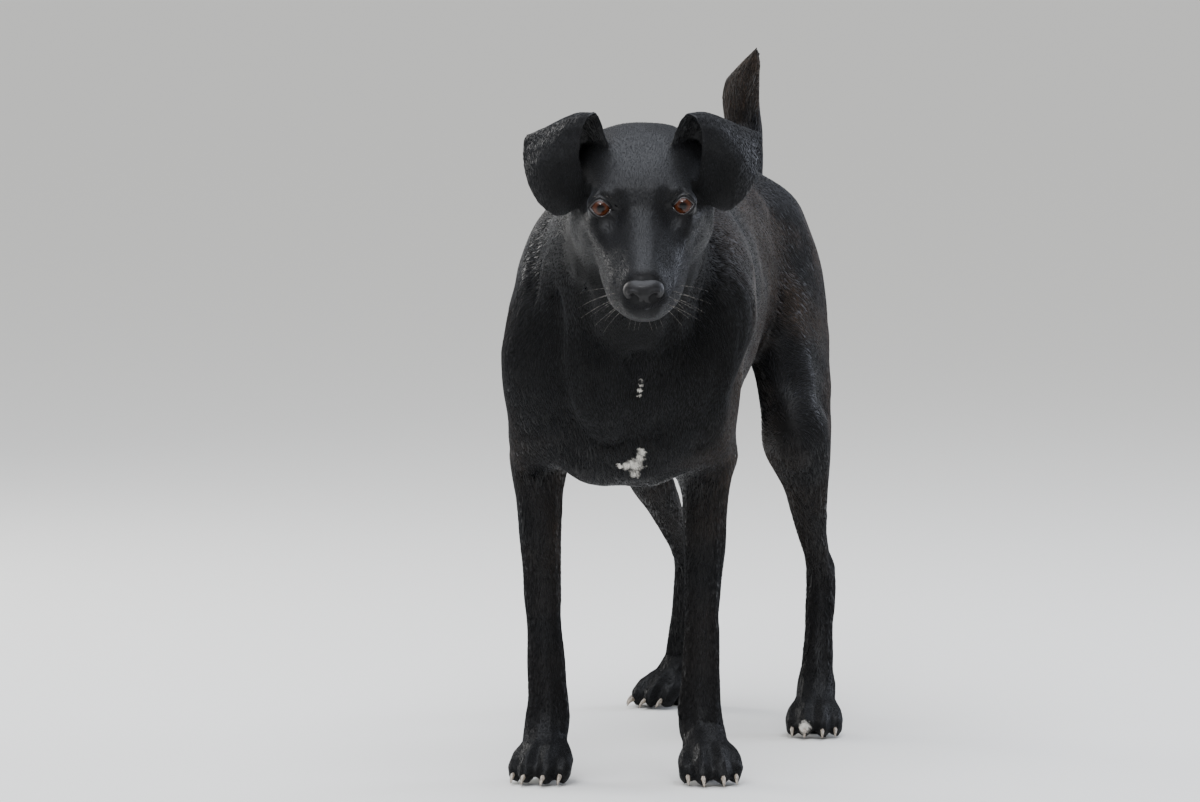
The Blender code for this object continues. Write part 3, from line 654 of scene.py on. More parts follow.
# A living eye, made of clear wet cornea over an amber iris: the coat is its mirror-smooth tear
# film, which gives the small sharp glints. The iris's fibres run out from the pupil, each a
# 26th of a radian wide, which is about 0.2 mm.
def eye_material(name, world_frame):
    """Rings about the gaze; the Mapping node brings Object coordinates into the eye's frame."""
    material = new_material(name, Roughness=0.5, Specular_IOR_Level=0.0, Coat_Weight=1.0,
                            Coat_Roughness=0.01, Coat_IOR=1.36)
    back = world_frame.inverted()
    place = node(material, "TexCoord", out="Object")
    eye = node(material, "Mapping", Vector=place, Location=back.translation[:],
               Rotation=back.to_euler()[:])
    unit = node(material, "VectorMath", "NORMALIZE", in0=eye)
    x, y, z = node(material, "SeparateXYZ", Vector=unit).node.outputs
    off = node(material, "Math", "ARCCOSINE", in0=z)
    turn = node(material, "Math", "ARCTAN2", in0=y, in1=x)
    ring = node(material, "CombineXYZ", X=turn, Y=off)
    stretched = node(material, "Mapping", Vector=ring, Scale=(26, 2.2, 1))
    fibres = node(material, "TexNoise", Vector=stretched, Scale=1.0, Detail=4.0)
    jitter = node(material, "Math", "MULTIPLY_ADD", in0=fibres, in1=0.10, in2=-0.05)
    wobbly = node(material, "Math", "ADD", in0=off, in1=jitter)
    share = node(material, "Math", "DIVIDE", in0=wobbly, in1=RING_SPAN)
    pupil, cornea = PUPIL_EDGE / RING_SPAN, CORNEA_EDGE / RING_SPAN
    rings = ramp(material, share, (0.0, "#030303"), (pupil - 0.012, "#040303"),
                 (pupil + 0.012, "#26120b"), (0.42, "#4e2815"), (0.58, "#391c0f"),
                 (cornea - 0.04, "#221009"), (cornea + 0.02, "#120c0b"), (0.95, "#2b211f"))
    streaks = ramp(material, fibres, (0.30, "#6b5040"), (0.65, "#ffffff"))
    painted = node(material, "Mix", {"data_type": "RGBA", "blend_type": "MULTIPLY"}, out=2,
                   Factor=0.7, in6=rings, in7=streaks)
    dish = eased(material, off, PUPIL_EDGE, CORNEA_EDGE)
    bump = node(material, "Bump", Height=dish, Strength=0.75, Distance=0.0035)
    finish(material, Base_Color=painted, Normal=bump)
    return material


def eyeball(side):
    """A sphere with a low dome on its pole, turned to its gaze."""
    bpy.ops.object.select_all(action="DESELECT")
    bpy.ops.mesh.primitive_uv_sphere_add(segments=64, ring_count=48, radius=EYE_RADIUS * MM)
    ball = bpy.context.object
    ball.name = "eyeball_" + ("left" if side > 0 else "right")
    spots = points_of(ball)
    tilt = np.arccos(np.clip(spots[:, 2] / (EYE_RADIUS * MM), -1, 1))
    dome = np.clip(1 - (tilt / CORNEA_EDGE) ** 2, 0, 1) ** 1.5
    spots *= (1 + CORNEA_RISE / EYE_RADIUS * dome)[:, None]
    move_points(ball, spots)
    placed = gaze_frame(side)
    ball.data.transform(placed)
    choose(ball)
    bpy.ops.object.shade_smooth()
    ball.data.materials.append(eye_material("wet_amber_eye_" + ball.name[8:], placed))
    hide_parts("eye_" + ball.name[8:])
    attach(ball, "root")
    return ball


for side in (1, -1):
    print(eyeball(side).name, "gaze frame set")

# %% [markdown]
# The rim of each lid is bare, wet skin. It is one closed tube swept along the almond, so that the
# lids end in a clean line whatever the facets of the skin do.


# %% The bare rims of the lids
def tube(name, line, radii, sides=8, closed=False):
    """A mesh tube along a line of points, in the units of the line."""
    line = np.asarray(line, float)
    count = len(line)
    if closed:
        along = np.roll(line, -1, axis=0) - np.roll(line, 1, axis=0)
    else:
        along = np.gradient(line, axis=0)
    along /= np.linalg.norm(along, axis=1)[:, None]
    turns = np.arange(sides)[:, None] * 2 * np.pi / sides
    guide = np.array((0.0, 0.0, 1.0)) if abs(along[0][2]) < 0.8 else np.array((1.0, 0.0, 0.0))
    rings = []
    for spot, direction, radius in zip(line, along, radii):
        side_way = one_long(np.cross(direction, guide))
        other = np.cross(direction, side_way)
        guide = -other if np.dot(other, guide) < 0 else other
        rings.append(spot + radius * (np.cos(turns) * side_way + np.sin(turns) * guide))
    points = np.vstack(rings)
    faces = []
    for ring in range(count if closed else count - 1):
        low, high = ring * sides, (ring + 1) % count * sides
        for step in range(sides):
            after = (step + 1) % sides
            faces.append((low + step, low + after, high + after, high + step))
    if not closed:
        faces.append(tuple(range(sides - 1, -1, -1)))
        faces.append(tuple(range((count - 1) * sides, count * sides)))
    mesh = bpy.data.meshes.new(name)
    mesh.from_pydata(points.tolist(), [], faces)
    made = bpy.data.objects.new(name, mesh)
    bpy.context.scene.collection.objects.link(made)
    edit_whole(made, lambda: bpy.ops.mesh.normals_make_consistent(inside=False))
    bpy.ops.object.shade_smooth()
    return made


# Bare black skin kept wet by tears: a smooth film over a grain of some hundredths of a millimetre.
RIM_RADIUS = 0.62
RIM_GAP = 0.35  # from the eyeball to the tube's middle
rim_skin = new_material("wet_black_lid_rim", Base_Color="#1b1718", Roughness=0.3,
                        Coat_Weight=0.6, Coat_Roughness=0.12)
grain = node(rim_skin, "TexNoise", Scale=900.0, Detail=3.0)
finish(rim_skin, Base_Color=ramp(rim_skin, grain, (0.35, "#151213"), (0.7, "#2c2526")))
for side in (1, -1):
    centre, ahead, outward, up = eye_axes(side)
    shares = (1 - np.cos(np.linspace(0, np.pi, 30))) / 2
    edge = [lid_edge(share, UPPER_ARCH) for share in shares]
    edge += [lid_edge(share, LOWER_ARCH) for share in shares[-2:0:-1]]
    line = []
    for across, level in edge:
        a, b = math.radians(across), math.radians(level)
        way = ahead + math.tan(a) * outward + math.tan(b) * up
        line.append(from_head(centre + one_long(way) * (EYE_RADIUS + RIM_GAP)))
    name = "lid_rim_" + ("left" if side > 0 else "right")
    rim = tube(name, line, [RIM_RADIUS * MM] * len(line), closed=True)
    rim.data.materials.append(rim_skin)
    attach(rim, "root")
print("lid rims:", len(line), "stations each")

# %% [markdown]
# ## Claws
#
# Each claw of the frame is a six-sided stub at its right place. A copy with its edges rounded by
# two levels of subdivision is a smooth horn that stays inside the stub.

# %% One rounded claw for each of the frame's
# Claw keratin, grown in layers and worn dull by walking: soft highlights, and streaks 2.4 mm apart.
horn = new_material("worn_keratin_claw", Roughness=0.38, Coat_Weight=0.25, Coat_Roughness=0.2)
place = node(horn, "TexCoord", out="Object")
streak = node(horn, "TexNoise", Vector=place, Scale=420.0, Detail=4.0, Roughness=0.6)
layers = ramp(horn, streak, (0.30, "#5c534a"), (0.55, "#93887a"), (0.75, "#b9afa2"))
finish(horn, Base_Color=layers)
for name in CLAWS:
    claw = copy_of(name)
    claw.name = "horn_" + name[5:]
    edit_whole(claw, lambda: bpy.ops.mesh.remove_doubles(threshold=SAME_SPOT),
               bpy.ops.mesh.tris_convert_to_quads)
    with_modifier(claw, "SUBSURF", levels=2, render_levels=2)
    bpy.ops.object.shade_smooth()
    claw.data.materials.clear()
    claw.data.materials.append(horn)
    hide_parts(name)
    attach(claw, "root")
print("claws rounded:", len(CLAWS))

# %% [markdown]
# ## Nose leather
#
# The nose is bare, pebbled, wet leather. It starts as a sphere pressed to the frame's nose, is
# narrowed towards the lip, and gets its comma-shaped nostrils and middle groove by strokes.

# %% The nose, shaped in the head's frame
bpy.ops.object.select_all(action="DESELECT")
bpy.ops.mesh.primitive_uv_sphere_add(segments=96, ring_count=72, radius=1.0)
nose = bpy.context.object
nose.name = "nose_leather"
NOSE_SPOT = np.array((0.0, -91.3, -32.5))  # millimetres from here on
HALF_WIDTH = 18.8
NARROWING = 0.40  # of its width, towards the lip
DEPTH_AHEAD, DEPTH_BEHIND = 13.4, 12.0
HEIGHT_ABOVE, HEIGHT_BELOW = 14.0, 16.0
SETBACK = 3.0  # of its foot
unit = points_of(nose)
wide = HALF_WIDTH * (1 - NARROWING * smooth_step(-unit[:, 2], -0.1, 1.0))
deep = np.where(unit[:, 1] < 0, DEPTH_AHEAD, DEPTH_BEHIND)
high = np.where(unit[:, 2] > 0, HEIGHT_ABOVE, HEIGHT_BELOW)
squared = np.sign(unit) * np.abs(unit) ** 0.9
local = NOSE_SPOT + squared * np.stack([wide, deep, high], axis=1)
local[:, 1] += SETBACK * smooth_step(-unit[:, 2], 0.2, 1.0)
move_points(nose, local * MM)
with_modifier(nose, "SMOOTH", factor=0.5, iterations=2)
local, normals = points_of(nose) / MM, normals_of(nose)
NOSE_STROKES = {  # from the middle of the nose
    "nostril": ([(8.0, -12.0, -0.4), (9.2, -11.2, 1.0)], 4.8, -5.8),
    "nostril's slit": ([(9.5, -11.5, -1.4), (13, -8.5, -3.6), (16, -3, -4.2)], 2.4, -3.0),
    "wing over the nostril": ([(3.8, -13.5, 3.4), (8, -13, 7.0), (13.5, -9.5, 4.8)], 3.4, 0.9),
    "middle groove": ([(0, -14.5, 0), (0, -13, -7), (0, -8, -15)], 1.8, -1.4),
    "flat of the top": ([(0, 0.5, 14)], 12, -0.9),
}
for line, width, height in NOSE_STROKES.values():
    local += stroke(local - NOSE_SPOT, normals, line, width, height)
move_points(nose, from_head(local))
choose(nose)
bpy.ops.object.shade_smooth()
# Bare nose skin, grown in pebbles of about 0.9 mm and licked wet: broken, low highlights.
leather = new_material("wet_black_nose_leather", Roughness=0.5, Specular_IOR_Level=0.25,
                       Coat_Weight=0.12, Coat_Roughness=0.22)
place = node(leather, "TexCoord", out="Object")
pebble = node(leather, "TexVoronoi", {"feature": "SMOOTH_F1"}, Vector=place, Scale=1150.0,
              Smoothness=0.35, Randomness=0.9)
mottle = node(leather, "TexNoise", Vector=place, Scale=120.0, Detail=3.0)
relief = node(leather, "Bump", {"invert": True}, Height=pebble, Strength=0.5, Distance=0.00035)
black = ramp(leather, mottle, (0.3, "#060506"), (0.7, "#0d0c0e"))
finish(leather, Base_Color=black, Normal=relief)
nose.data.materials.append(leather)
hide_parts("nose")
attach(nose, "root")
print("nose leather:", triangle_count(nose), "triangles")

# %% [markdown]
# ## Muscle, tendon and loose skin
#
# The trunk and legs get the same kind of strokes as the head, here in the frame's own metres:
# the shoulder blade's ridge, the grooves of chest and throat, the tendons of the forelegs, the
# fold of the flank, the points of the hips. Loose skin over the shoulders lies in soft waves.

# %% Strokes on the body: line, width and height in metres, and whether both sides have it
BODY_STROKES = {
    "shoulder blade": ([(0.045, -0.085, 0.555), (0.082, -0.165, 0.43)], 0.022, 0.0022, True),
    "behind the shoulder": (
        [(0.078, -0.06, 0.50), (0.088, -0.07, 0.40), (0.07, -0.05, 0.32)], 0.026, -0.0010, True),
    "point of the shoulder": ([(0.068, -0.235, 0.40)], 0.032, 0.0022, True),
    "breastbone groove": (
        [(0.018, -0.28, 0.41), (0.012, -0.25, 0.33), (0.0, -0.20, 0.285)], 0.018, -0.0045, False),
    "right side of the throat": ([(-0.02, -0.31, 0.47), (-0.02, -0.285, 0.41)], 0.019, -0.0040, False),
    "left side of the throat": ([(0.06, -0.31, 0.47), (0.05, -0.27, 0.41)], 0.019, -0.0040, False),
    "left of the breast": (
        [(0.078, -0.24, 0.457), (0.075, -0.22, 0.386), (0.062, -0.18, 0.315)], 0.021, -0.0048, False),
    "right of the breast": (
        [(-0.054, -0.26, 0.457), (-0.056, -0.23, 0.386), (-0.050, -0.18, 0.315)], 0.021, -0.0048, False),
    "left breast muscle": ([(0.042, -0.27, 0.40), (0.034, -0.22, 0.31)], 0.026, 0.0034, False),
    "right breast muscle": ([(-0.016, -0.27, 0.40), (-0.022, -0.22, 0.31)], 0.026, 0.0034, False),
    "left elbow": ([(0.069, -0.075, 0.298)], 0.020, 0.003, False),
    "right elbow": ([(-0.118, -0.10, 0.298)], 0.020, 0.003, False),
    "left tendon": ([(0.047, -0.068, 0.25), (0.046, -0.082, 0.14)], 0.010, 0.0012, False),
    "right tendon": ([(-0.103, -0.092, 0.25), (-0.098, -0.106, 0.14)], 0.010, 0.0012, False),
    "left forearm's groove": ([(0.066, -0.10, 0.25), (0.062, -0.10, 0.15)], 0.009, -0.0012, False),
    "right forearm's groove": ([(-0.085, -0.118, 0.25), (-0.083, -0.125, 0.15)], 0.009, -0.0012, False),
    "left carpus": ([(0.046, -0.118, 0.108)], 0.014, 0.0012, False),
    "right carpus": ([(-0.098, -0.14, 0.108)], 0.014, 0.0012, False),
    "flank fold": ([(0.066, 0.15, 0.37), (0.085, 0.21, 0.315)], 0.020, -0.003, True),
    "hip point": ([(0.055, 0.185, 0.52)], 0.028, 0.0028, True),
    "hollow of the flank": ([(0.070, 0.12, 0.47)], 0.045, -0.0035, True),
    "front of the thigh": ([(0.090, 0.20, 0.40), (0.095, 0.19, 0.33)], 0.022, 0.002, True),
    "thigh's groove": ([(0.080, 0.33, 0.44), (0.092, 0.26, 0.31)], 0.020, -0.0026, True),
    "left knee": ([(0.092, 0.18, 0.275)], 0.018, 0.002, False),
    "left shank's tendon": ([(0.10, 0.245, 0.21), (0.105, 0.285, 0.15)], 0.010, 0.0014, False),
    "left shank's hollow": ([(0.108, 0.235, 0.22), (0.113, 0.262, 0.165)], 0.012, -0.0018, False),
    "right shank's hollow": ([(-0.075, 0.31, 0.23), (-0.062, 0.36, 0.17)], 0.012, -0.0018, False),
}
RIBS = 7
FIRST_RIB = -0.035
RIB_STEP = 0.026
for rib in range(RIBS):
    top = FIRST_RIB + RIB_STEP * rib
    line = [(0.080, top, 0.50), (0.088, top + 0.022, 0.43), (0.075, top + 0.03, 0.36)]
    BODY_STROKES[f"rib {rib + 1}"] = (line, 0.0085, 0.0007, True)
spots, normals = points_of(skin), normals_of(skin)
skin_tree = tree_of(skin)
moved = np.zeros_like(spots)
for line, width, height, both in BODY_STROKES.values():
    for side in (1, -1) if both else (1,):
        placed = nearest(skin_tree, on_side(line, side))[0]
        moved += stroke(spots, normals, placed, width, height, both=False)


def waves(points, scale, seed):
    """A smooth random field of about -1 to 1, made of a few sine waves in random directions."""
    dice = np.random.default_rng(seed)
    total = np.zeros(len(points))
    for _ in range(7):
        way = one_long(dice.normal(size=3))
        length = scale * dice.uniform(0.7, 1.4)
        total += np.sin(points @ way * 2 * np.pi / length + dice.uniform(0, 7))
    return total / 3.2


LOOSE_SKIN = 0.0009  # metres up and down, over the shoulders
UNEVENNESS = 0.0006  # and all over the trunk
SEAT_WIDTH, SEAT_DEPTH = 24, 3.4  # millimetres, of the hollow that the nose leather fills
shoulder = falloff(distance_to_line(spots, [(-0.07, -0.21, 0.50), (-0.085, -0.20, 0.42)]), 0.07)
shoulder += falloff(distance_to_line(spots, [(0.08, -0.19, 0.50), (0.09, -0.19, 0.42)]), 0.06)
upright = spots * np.array((1.0, 1.0, 0.35))  # makes the waves tall and narrow
moved += normals * (shoulder * waves(upright, 0.016, seed=5) * LOOSE_SKIN)[:, None]
trunk = (1 - headness(spots)) * (1 - pawness(spots))
moved += normals * (trunk * waves(spots, 0.05, seed=6) * UNEVENNESS)[:, None]
spots = spots + moved
nose_seat = falloff(np.linalg.norm(in_head(spots) - NOSE_SPOT - (0, -8, 0), axis=1), SEAT_WIDTH)
spots -= normals * (np.minimum(nose_seat * 2, 1) * SEAT_DEPTH * MM)[:, None]
move_points(skin, spots)
print("body strokes:", len(BODY_STROKES))

# %% [markdown]
# ## The lie of the coat
#
# Hair grows from the nose back over the head, down the neck and flanks, and down each leg. A few
# guide lines run the way the hair lies. Every point of the skin takes its direction from
# the guides near it, laid flat on the skin and then averaged with its neighbours.

# %% Guide lines, each from root to tip of the lie
HEAD_GUIDES = [  # millimetres of the head's frame, on both sides
    [(3, -86, -20), (3, -40, -10), (4, 0, 18), (6, 40, 34), (8, 92, 22)],
    [(18, -88, -36), (28, -40, -30), (44, 10, -18), (50, 60, -20), (46, 95, -30)],
    [(8, -92, -56), (24, -20, -66), (30, 40, -66), (28, 90, -60)],
    [(26, -20, 4), (38, 0, 18), (46, 30, 24), (44, 70, 24)],
]
EAR_COLUMNS = [  # from the ear's root over its fold to its tip
    [(24, 40, 28), (31, 46, 50), (42, 52, 67), (54, 43, 57),
     (52, 31, 36), (50, 23, 16), (54, 18, -2), (66, 17, -12)],
    [(40, 66, 30), (50, 72, 50), (60, 68, 57), (71, 54, 49),
     (71, 34, 33), (66, 20, 13), (66, 16, -8), (71, 17, -14)],
    [(56, 80, 14), (73, 84, 34), (82, 82, 39), (90, 71, 34),
     (91, 47, 24), (84, 28, 8), (80, 20, -13), (77, 19, -15)],
    [(60, 64, -8), (80, 78, 8), (103, 90, 24), (110, 84, 21),
     (106, 66, 11), (102, 48, 0), (93, 34, -11), (83, 23, -15)],
]
BODY_GUIDES = [  # metres, on both sides
    [(0.03, -0.28, 0.61), (0.02, -0.20, 0.60), (0.01, -0.05, 0.585),
     (0.01, 0.12, 0.565), (0.01, 0.33, 0.545)],
    [(0.07, -0.30, 0.53), (0.08, -0.22, 0.49), (0.09, -0.12, 0.44),
     (0.095, 0.02, 0.40), (0.08, 0.15, 0.37)],
    [(0.07, -0.04, 0.55), (0.08, 0.08, 0.50), (0.085, 0.20, 0.44), (0.095, 0.27, 0.36)],
    [(0.03, -0.06, 0.27), (0.02, 0.04, 0.285), (0.02, 0.14, 0.33), (0.04, 0.22, 0.36)],
    [(0.03, -0.285, 0.45), (0.03, -0.27, 0.38), (0.025, -0.23, 0.30), (0.02, -0.14, 0.262)],
    [(0.085, -0.20, 0.46), (0.09, -0.19, 0.38), (0.075, -0.14, 0.28)],
    [(0.085, 0.24, 0.52), (0.10, 0.28, 0.42), (0.095, 0.26, 0.30)],
    [(0.035, 0.385, 0.48), (0.055, 0.38, 0.40), (0.06, 0.35, 0.30), (0.06, 0.30, 0.262)],
    [(0.010, 0.37, 0.46), (0.012, 0.35, 0.38), (0.02, 0.28, 0.33)],
]
SINGLE_GUIDES = [  # metres, each for one leg, or the tail
    [(0.062, -0.12, 0.28), (0.046, -0.09, 0.20), (0.046, -0.11, 0.10),
     (0.052, -0.125, 0.04), (0.062, -0.185, 0.012)],
    [(-0.105, -0.14, 0.28), (-0.103, -0.115, 0.20), (-0.097, -0.13, 0.10),
     (-0.094, -0.15, 0.04), (-0.092, -0.21, 0.012)],
    [(0.09, 0.21, 0.26), (0.09, 0.26, 0.18), (0.098, 0.268, 0.13),
     (0.10, 0.235, 0.05), (0.105, 0.17, 0.012)],
    [(-0.08, 0.28, 0.26), (-0.07, 0.36, 0.18), (-0.057, 0.40, 0.13),
     (-0.065, 0.395, 0.05), (-0.08, 0.345, 0.012)],
    [(-0.002, 0.345, 0.50), (-0.004, 0.383, 0.517), (-0.007, 0.425, 0.545), (-0.012, 0.449, 0.582),
     (-0.013, 0.437, 0.614), (-0.003, 0.413, 0.633), (0.007, 0.395, 0.648), (0.012, 0.387, 0.663)],
]


def all_guides():
    for lines, placed in ((HEAD_GUIDES + EAR_COLUMNS, from_head), (BODY_GUIDES, np.array)):
        for line in lines:
            for side in (1, -1):
                yield placed(on_side(line, side))
    yield from map(np.array, SINGLE_GUIDES)


# %% The lie at every point of the skin
GUIDE_REACH = 0.012  # how far a guide's pull stays strongest


def flat_on(ways, normals):
    """Directions laid flat on the skin, one unit long."""
    ways = ways - normals * (ways * normals).sum(1, keepdims=True)
    return ways / np.maximum(np.linalg.norm(ways, axis=1, keepdims=True), 1e-9)


spots, normals = points_of(skin), normals_of(skin)
lie = np.zeros_like(spots)
for line in all_guides():
    for start, end in zip(line, line[1:]):
        span = end - start
        t = np.clip((spots - start) @ span / (span @ span), 0, 1)
        away = ((spots - start - t[:, None] * span) ** 2).sum(1)
        pull = 1 / (away + GUIDE_REACH**2) ** 2.5
        lie += pull[:, None] * span / np.linalg.norm(span)
lie = flat_on(lie, normals)
averaged = [neighbour_mean(skin, lie[:, axis], rounds=24) for axis in range(3)]
lie = flat_on(np.stack(averaged, axis=1), normals)
side_way = np.cross(normals, lie)
turn = 0.16 * waves(spots, 0.022, seed=11) + 0.10 * waves(spots, 0.008, seed=12)
turn *= 1 - 0.6 * headness(spots)  # the head's hair lies more orderly
lie = flat_on(lie + side_way * turn[:, None], normals)
print("lie of the coat set at", len(lie), "points")

# %% [markdown]
# The frame's solids reach out to the tips of the coat, so the skin draws in by the coat's depth:
# 1.5 mm on the trunk, 0.9 mm on the head and feet, and nothing at the eyes, the nose and the soles.

# %% Drawing the skin in by the coat's depth
HAIRLESS_RIM = 14.0  # millimetres round each eye with almost no depth of coat
TRUNK_DEPTH = 1.5
HEAD_SAVING = 0.6  # less than that on the head and feet
local = in_head(spots)
head_share, paw_share = headness(spots), pawness(spots)
eye_gap = np.min([np.linalg.norm(local - eye_axes(side)[0], axis=1) for side in (1, -1)], axis=0)
nose_gap = np.linalg.norm(local - NOSE_SPOT, axis=1)
bare = np.minimum(smooth_step(eye_gap, HAIRLESS_RIM, HAIRLESS_RIM + 8), smooth_step(nose_gap, 18, 30))
depth = MM * (TRUNK_DEPTH - HEAD_SAVING * np.maximum(head_share, paw_share))
depth *= np.where(local[:, 1] < 45, bare, 1)
inward = normals * depth[:, None]
inward[:, 2] *= smooth_step(spots[:, 2], 0.001, 0.006)
spots = spots - inward
spots[:, 2] = np.maximum(spots[:, 2], 0.0)
move_points(skin, spots)
print("coat's depth in mm:", round(depth.min() / MM, 2), "to", round(depth.max() / MM, 2))

# %% [markdown]
# ## Black coat, with its white marks
#
# The coat is one finish for skin and tufts. Black dog hair is never quite black: it holds a
# little blue where it is dense, and turns rusty brown where the sun has bleached it, in patches
# over the back and flanks that fade down the legs. Under the ears and on the throat its colour is
# darkened as painted shade, and it is made duller there. A small broken white patch sits
# low on the chest, with a short white line above it, and one hind toe has a white tip.

# %% The coat's finish
WHITE_SPOTS = {  # metres: middle and radius
    "top of the patch": ((0.0065, -0.206, 0.3130), 0.0048),
    "neck of the patch": ((0.0040, -0.203, 0.3070), 0.0052),
    "middle of the patch": ((-0.0015, -0.199, 0.2995), 0.0072),
    "right arm of the patch": ((-0.0090, -0.197, 0.2990), 0.0044),
    "right end of the patch": ((-0.0150, -0.196, 0.2995), 0.0030),
    "left arm of the patch": ((0.0060, -0.199, 0.2985), 0.0036),
    "lower patch": ((-0.0030, -0.195, 0.2910), 0.0056),
    "foot of the patch": ((-0.0065, -0.192, 0.2830), 0.0042),
    "right toe of the patch": ((-0.0140, -0.192, 0.2820), 0.0034),
    "top of the line": ((0.0188, -0.2745, 0.3890), 0.0018),
    "upper line": ((0.0183, -0.2715, 0.3850), 0.0022),
    "middle of the line": ((0.0175, -0.2680, 0.3805), 0.0023),
    "lower line": ((0.0166, -0.2650, 0.3760), 0.0021),
    "foot of the line": ((0.0156, -0.2615, 0.3715), 0.0018),
    "hind toe": ((0.0985, 0.166, 0.012), 0.0062),
}


def arithmetic(material, operation, *values):
    """One Math node's result."""
    return node(material, "Math", operation, **{f"in{k}": value for k, value in enumerate(values)})


def mixed(material, share, first, second):
    """Two colours mixed by share; a hex code stands for a plain colour."""
    return node(material, "Mix", {"data_type": "RGBA"}, out=2, Factor=share, in6=first, in7=second)


def distance(material, place, middle):
    return node(material, "VectorMath", "DISTANCE", out="Value", in0=place, in1=middle)


# Short guard hair, groomed flat by the dog itself: a faint grey sheen along the lie, soft
# highlights on dense tufts, and strands about 3 mm apart that break both up.
HAIR_ROUGHNESS = 0.45
# middle of the painted shade on the throat and breast, under the chin
THROAT = (0.02, -0.28, 0.40)
# middle of the painted shade on each side of the skull, under the ear's fold
TEMPLE = (53, 40, 10)  # in the head's frame
SHALLOW = (1.0, 0.3, 1.0)  # depth counts less, so a mark isn't lost where the skin is moved
RAGGED = 0.008  # metres, by which the marks' edges stray


def coat_material():
    material = new_material("short_black_dog_hair", Roughness=HAIR_ROUGHNESS, Sheen_Weight=0.05,
                            Sheen_Roughness=0.4, Sheen_Tint="#b4bccb", Specular_IOR_Level=0.2)
    place = node(material, "TexCoord", out="Object")
    tone = node(material, "Attribute", {"attribute_name": "tone"}, out="Fac")
    along = node(material, "Attribute", {"attribute_name": "along"}, out="Fac")
    patches = node(material, "TexNoise", Vector=place, Scale=9.0, Detail=3.0)
    strands = node(material, "TexNoise", Vector=place, Scale=320.0, Detail=2.0)
    _, y, z = node(material, "SeparateXYZ", Vector=place).node.outputs
    high = eased(material, z, 0.0, 0.40)
    trunk = eased(material, y, -0.24, -0.14)
    bleached = eased(material, patches, 0.38, 0.62)
    rust = arithmetic(material, "MULTIPLY", arithmetic(material, "MULTIPLY", high, trunk), bleached)
    # painted shade: the coat's colour darkens within 17 cm of the throat, to a fifth within 9 cm
    deep = eased(material, distance(material, place, THROAT), 0.17, 0.09, 1.0, 0.2)
    fine = arithmetic(material, "MULTIPLY", strands, 0.4)
    variety = arithmetic(material, "MULTIPLY_ADD", tone, 0.6, fine)
    variety = arithmetic(material, "MULTIPLY", variety, deep)
    # painted shade under each ear: the colour darkens to a twentieth within 26 mm of the temple
    temple_shade = 0.0
    for side in (1, -1):
        middle = tuple(from_head(on_side([TEMPLE], side)[0]))
        near = eased(material, distance(material, place, middle), 0.042, 0.026)
        temple_shade = arithmetic(material, "MAXIMUM", temple_shade, near)
    shade = arithmetic(material, "MULTIPLY_ADD", temple_shade, -0.95, 1.0)
    variety = arithmetic(material, "MULTIPLY", variety, shade)
    # where shade is painted, the hair is also rougher, so it shines less
    painted_shade_share = arithmetic(material, "MAXIMUM", temple_shade, arithmetic(material, "SUBTRACT", 1.0, deep))
    dull = arithmetic(material, "MULTIPLY_ADD", painted_shade_share, 0.4, HAIR_ROUGHNESS)
    black = ramp(material, variety, (0.02, "#020202"), (0.15, "#060606"), (0.55, "#0e0e10"),
                 (0.9, "#1b1b1f"))
    brown = ramp(material, variety, (0.15, "#15110e"), (0.55, "#31271f"), (0.9, "#544438"))
    coat = mixed(material, rust, black, brown)
    coat = mixed(material, arithmetic(material, "MULTIPLY", along, 0.25), coat, "#2b2a2a")
    ragged = node(material, "TexNoise", out="Color", Vector=place, Scale=330.0, Detail=3.0)
    shift = node(material, "VectorMath", "MULTIPLY_ADD", in0=ragged, in1=(RAGGED,) * 3,
                 in2=(-RAGGED / 2,) * 3)
    jittered = node(material, "VectorMath", "ADD", in0=place, in1=shift)
    jittered = node(material, "VectorMath", "MULTIPLY", in0=jittered, in1=SHALLOW)
    white = 0.0
    for middle, radius in WHITE_SPOTS.values():
        away = distance(material, jittered, tuple(np.multiply(middle, SHALLOW)))
        inside = node(material, "MapRange", Value=away, From_Min=radius * 1.1, From_Max=radius * 0.6)
        white = arithmetic(material, "MAXIMUM", white, inside)
    coat = mixed(material, white, coat, "#d9d5cd")
    relief = node(material, "Bump", Height=strands, Strength=0.5, Distance=0.0006)
    finish(material, Base_Color=coat, Roughness=dull, Normal=relief)
    return material


coat_finish = coat_material()


def float_attribute(piece, name, values):
    made = piece.data.attributes.new(name, "FLOAT", "POINT")
    made.data.foreach_set("value", np.asarray(values, np.float32))


skin.data.materials.append(coat_finish)
# The body's skin is darker than the head's: the black of the undercoat, and painted shade in the gaps
# between the longer tufts.
float_attribute(skin, "tone", 0.06 + 0.24 * headness(points_of(skin)))
float_attribute(skin, "along", np.zeros(len(skin.data.vertices)))
choose(skin)
bpy.ops.object.shade_smooth()
print("coat's finish:", len(coat_finish.node_tree.nodes), "nodes")

# %% [markdown]
# ## A flat map of the skin, for the tufts
#
# When the finish is baked, each tuft needs its own little patch of the picture. A thinned copy
# of the skin is unwrapped, and every tuft takes the place where its root sits on that map.

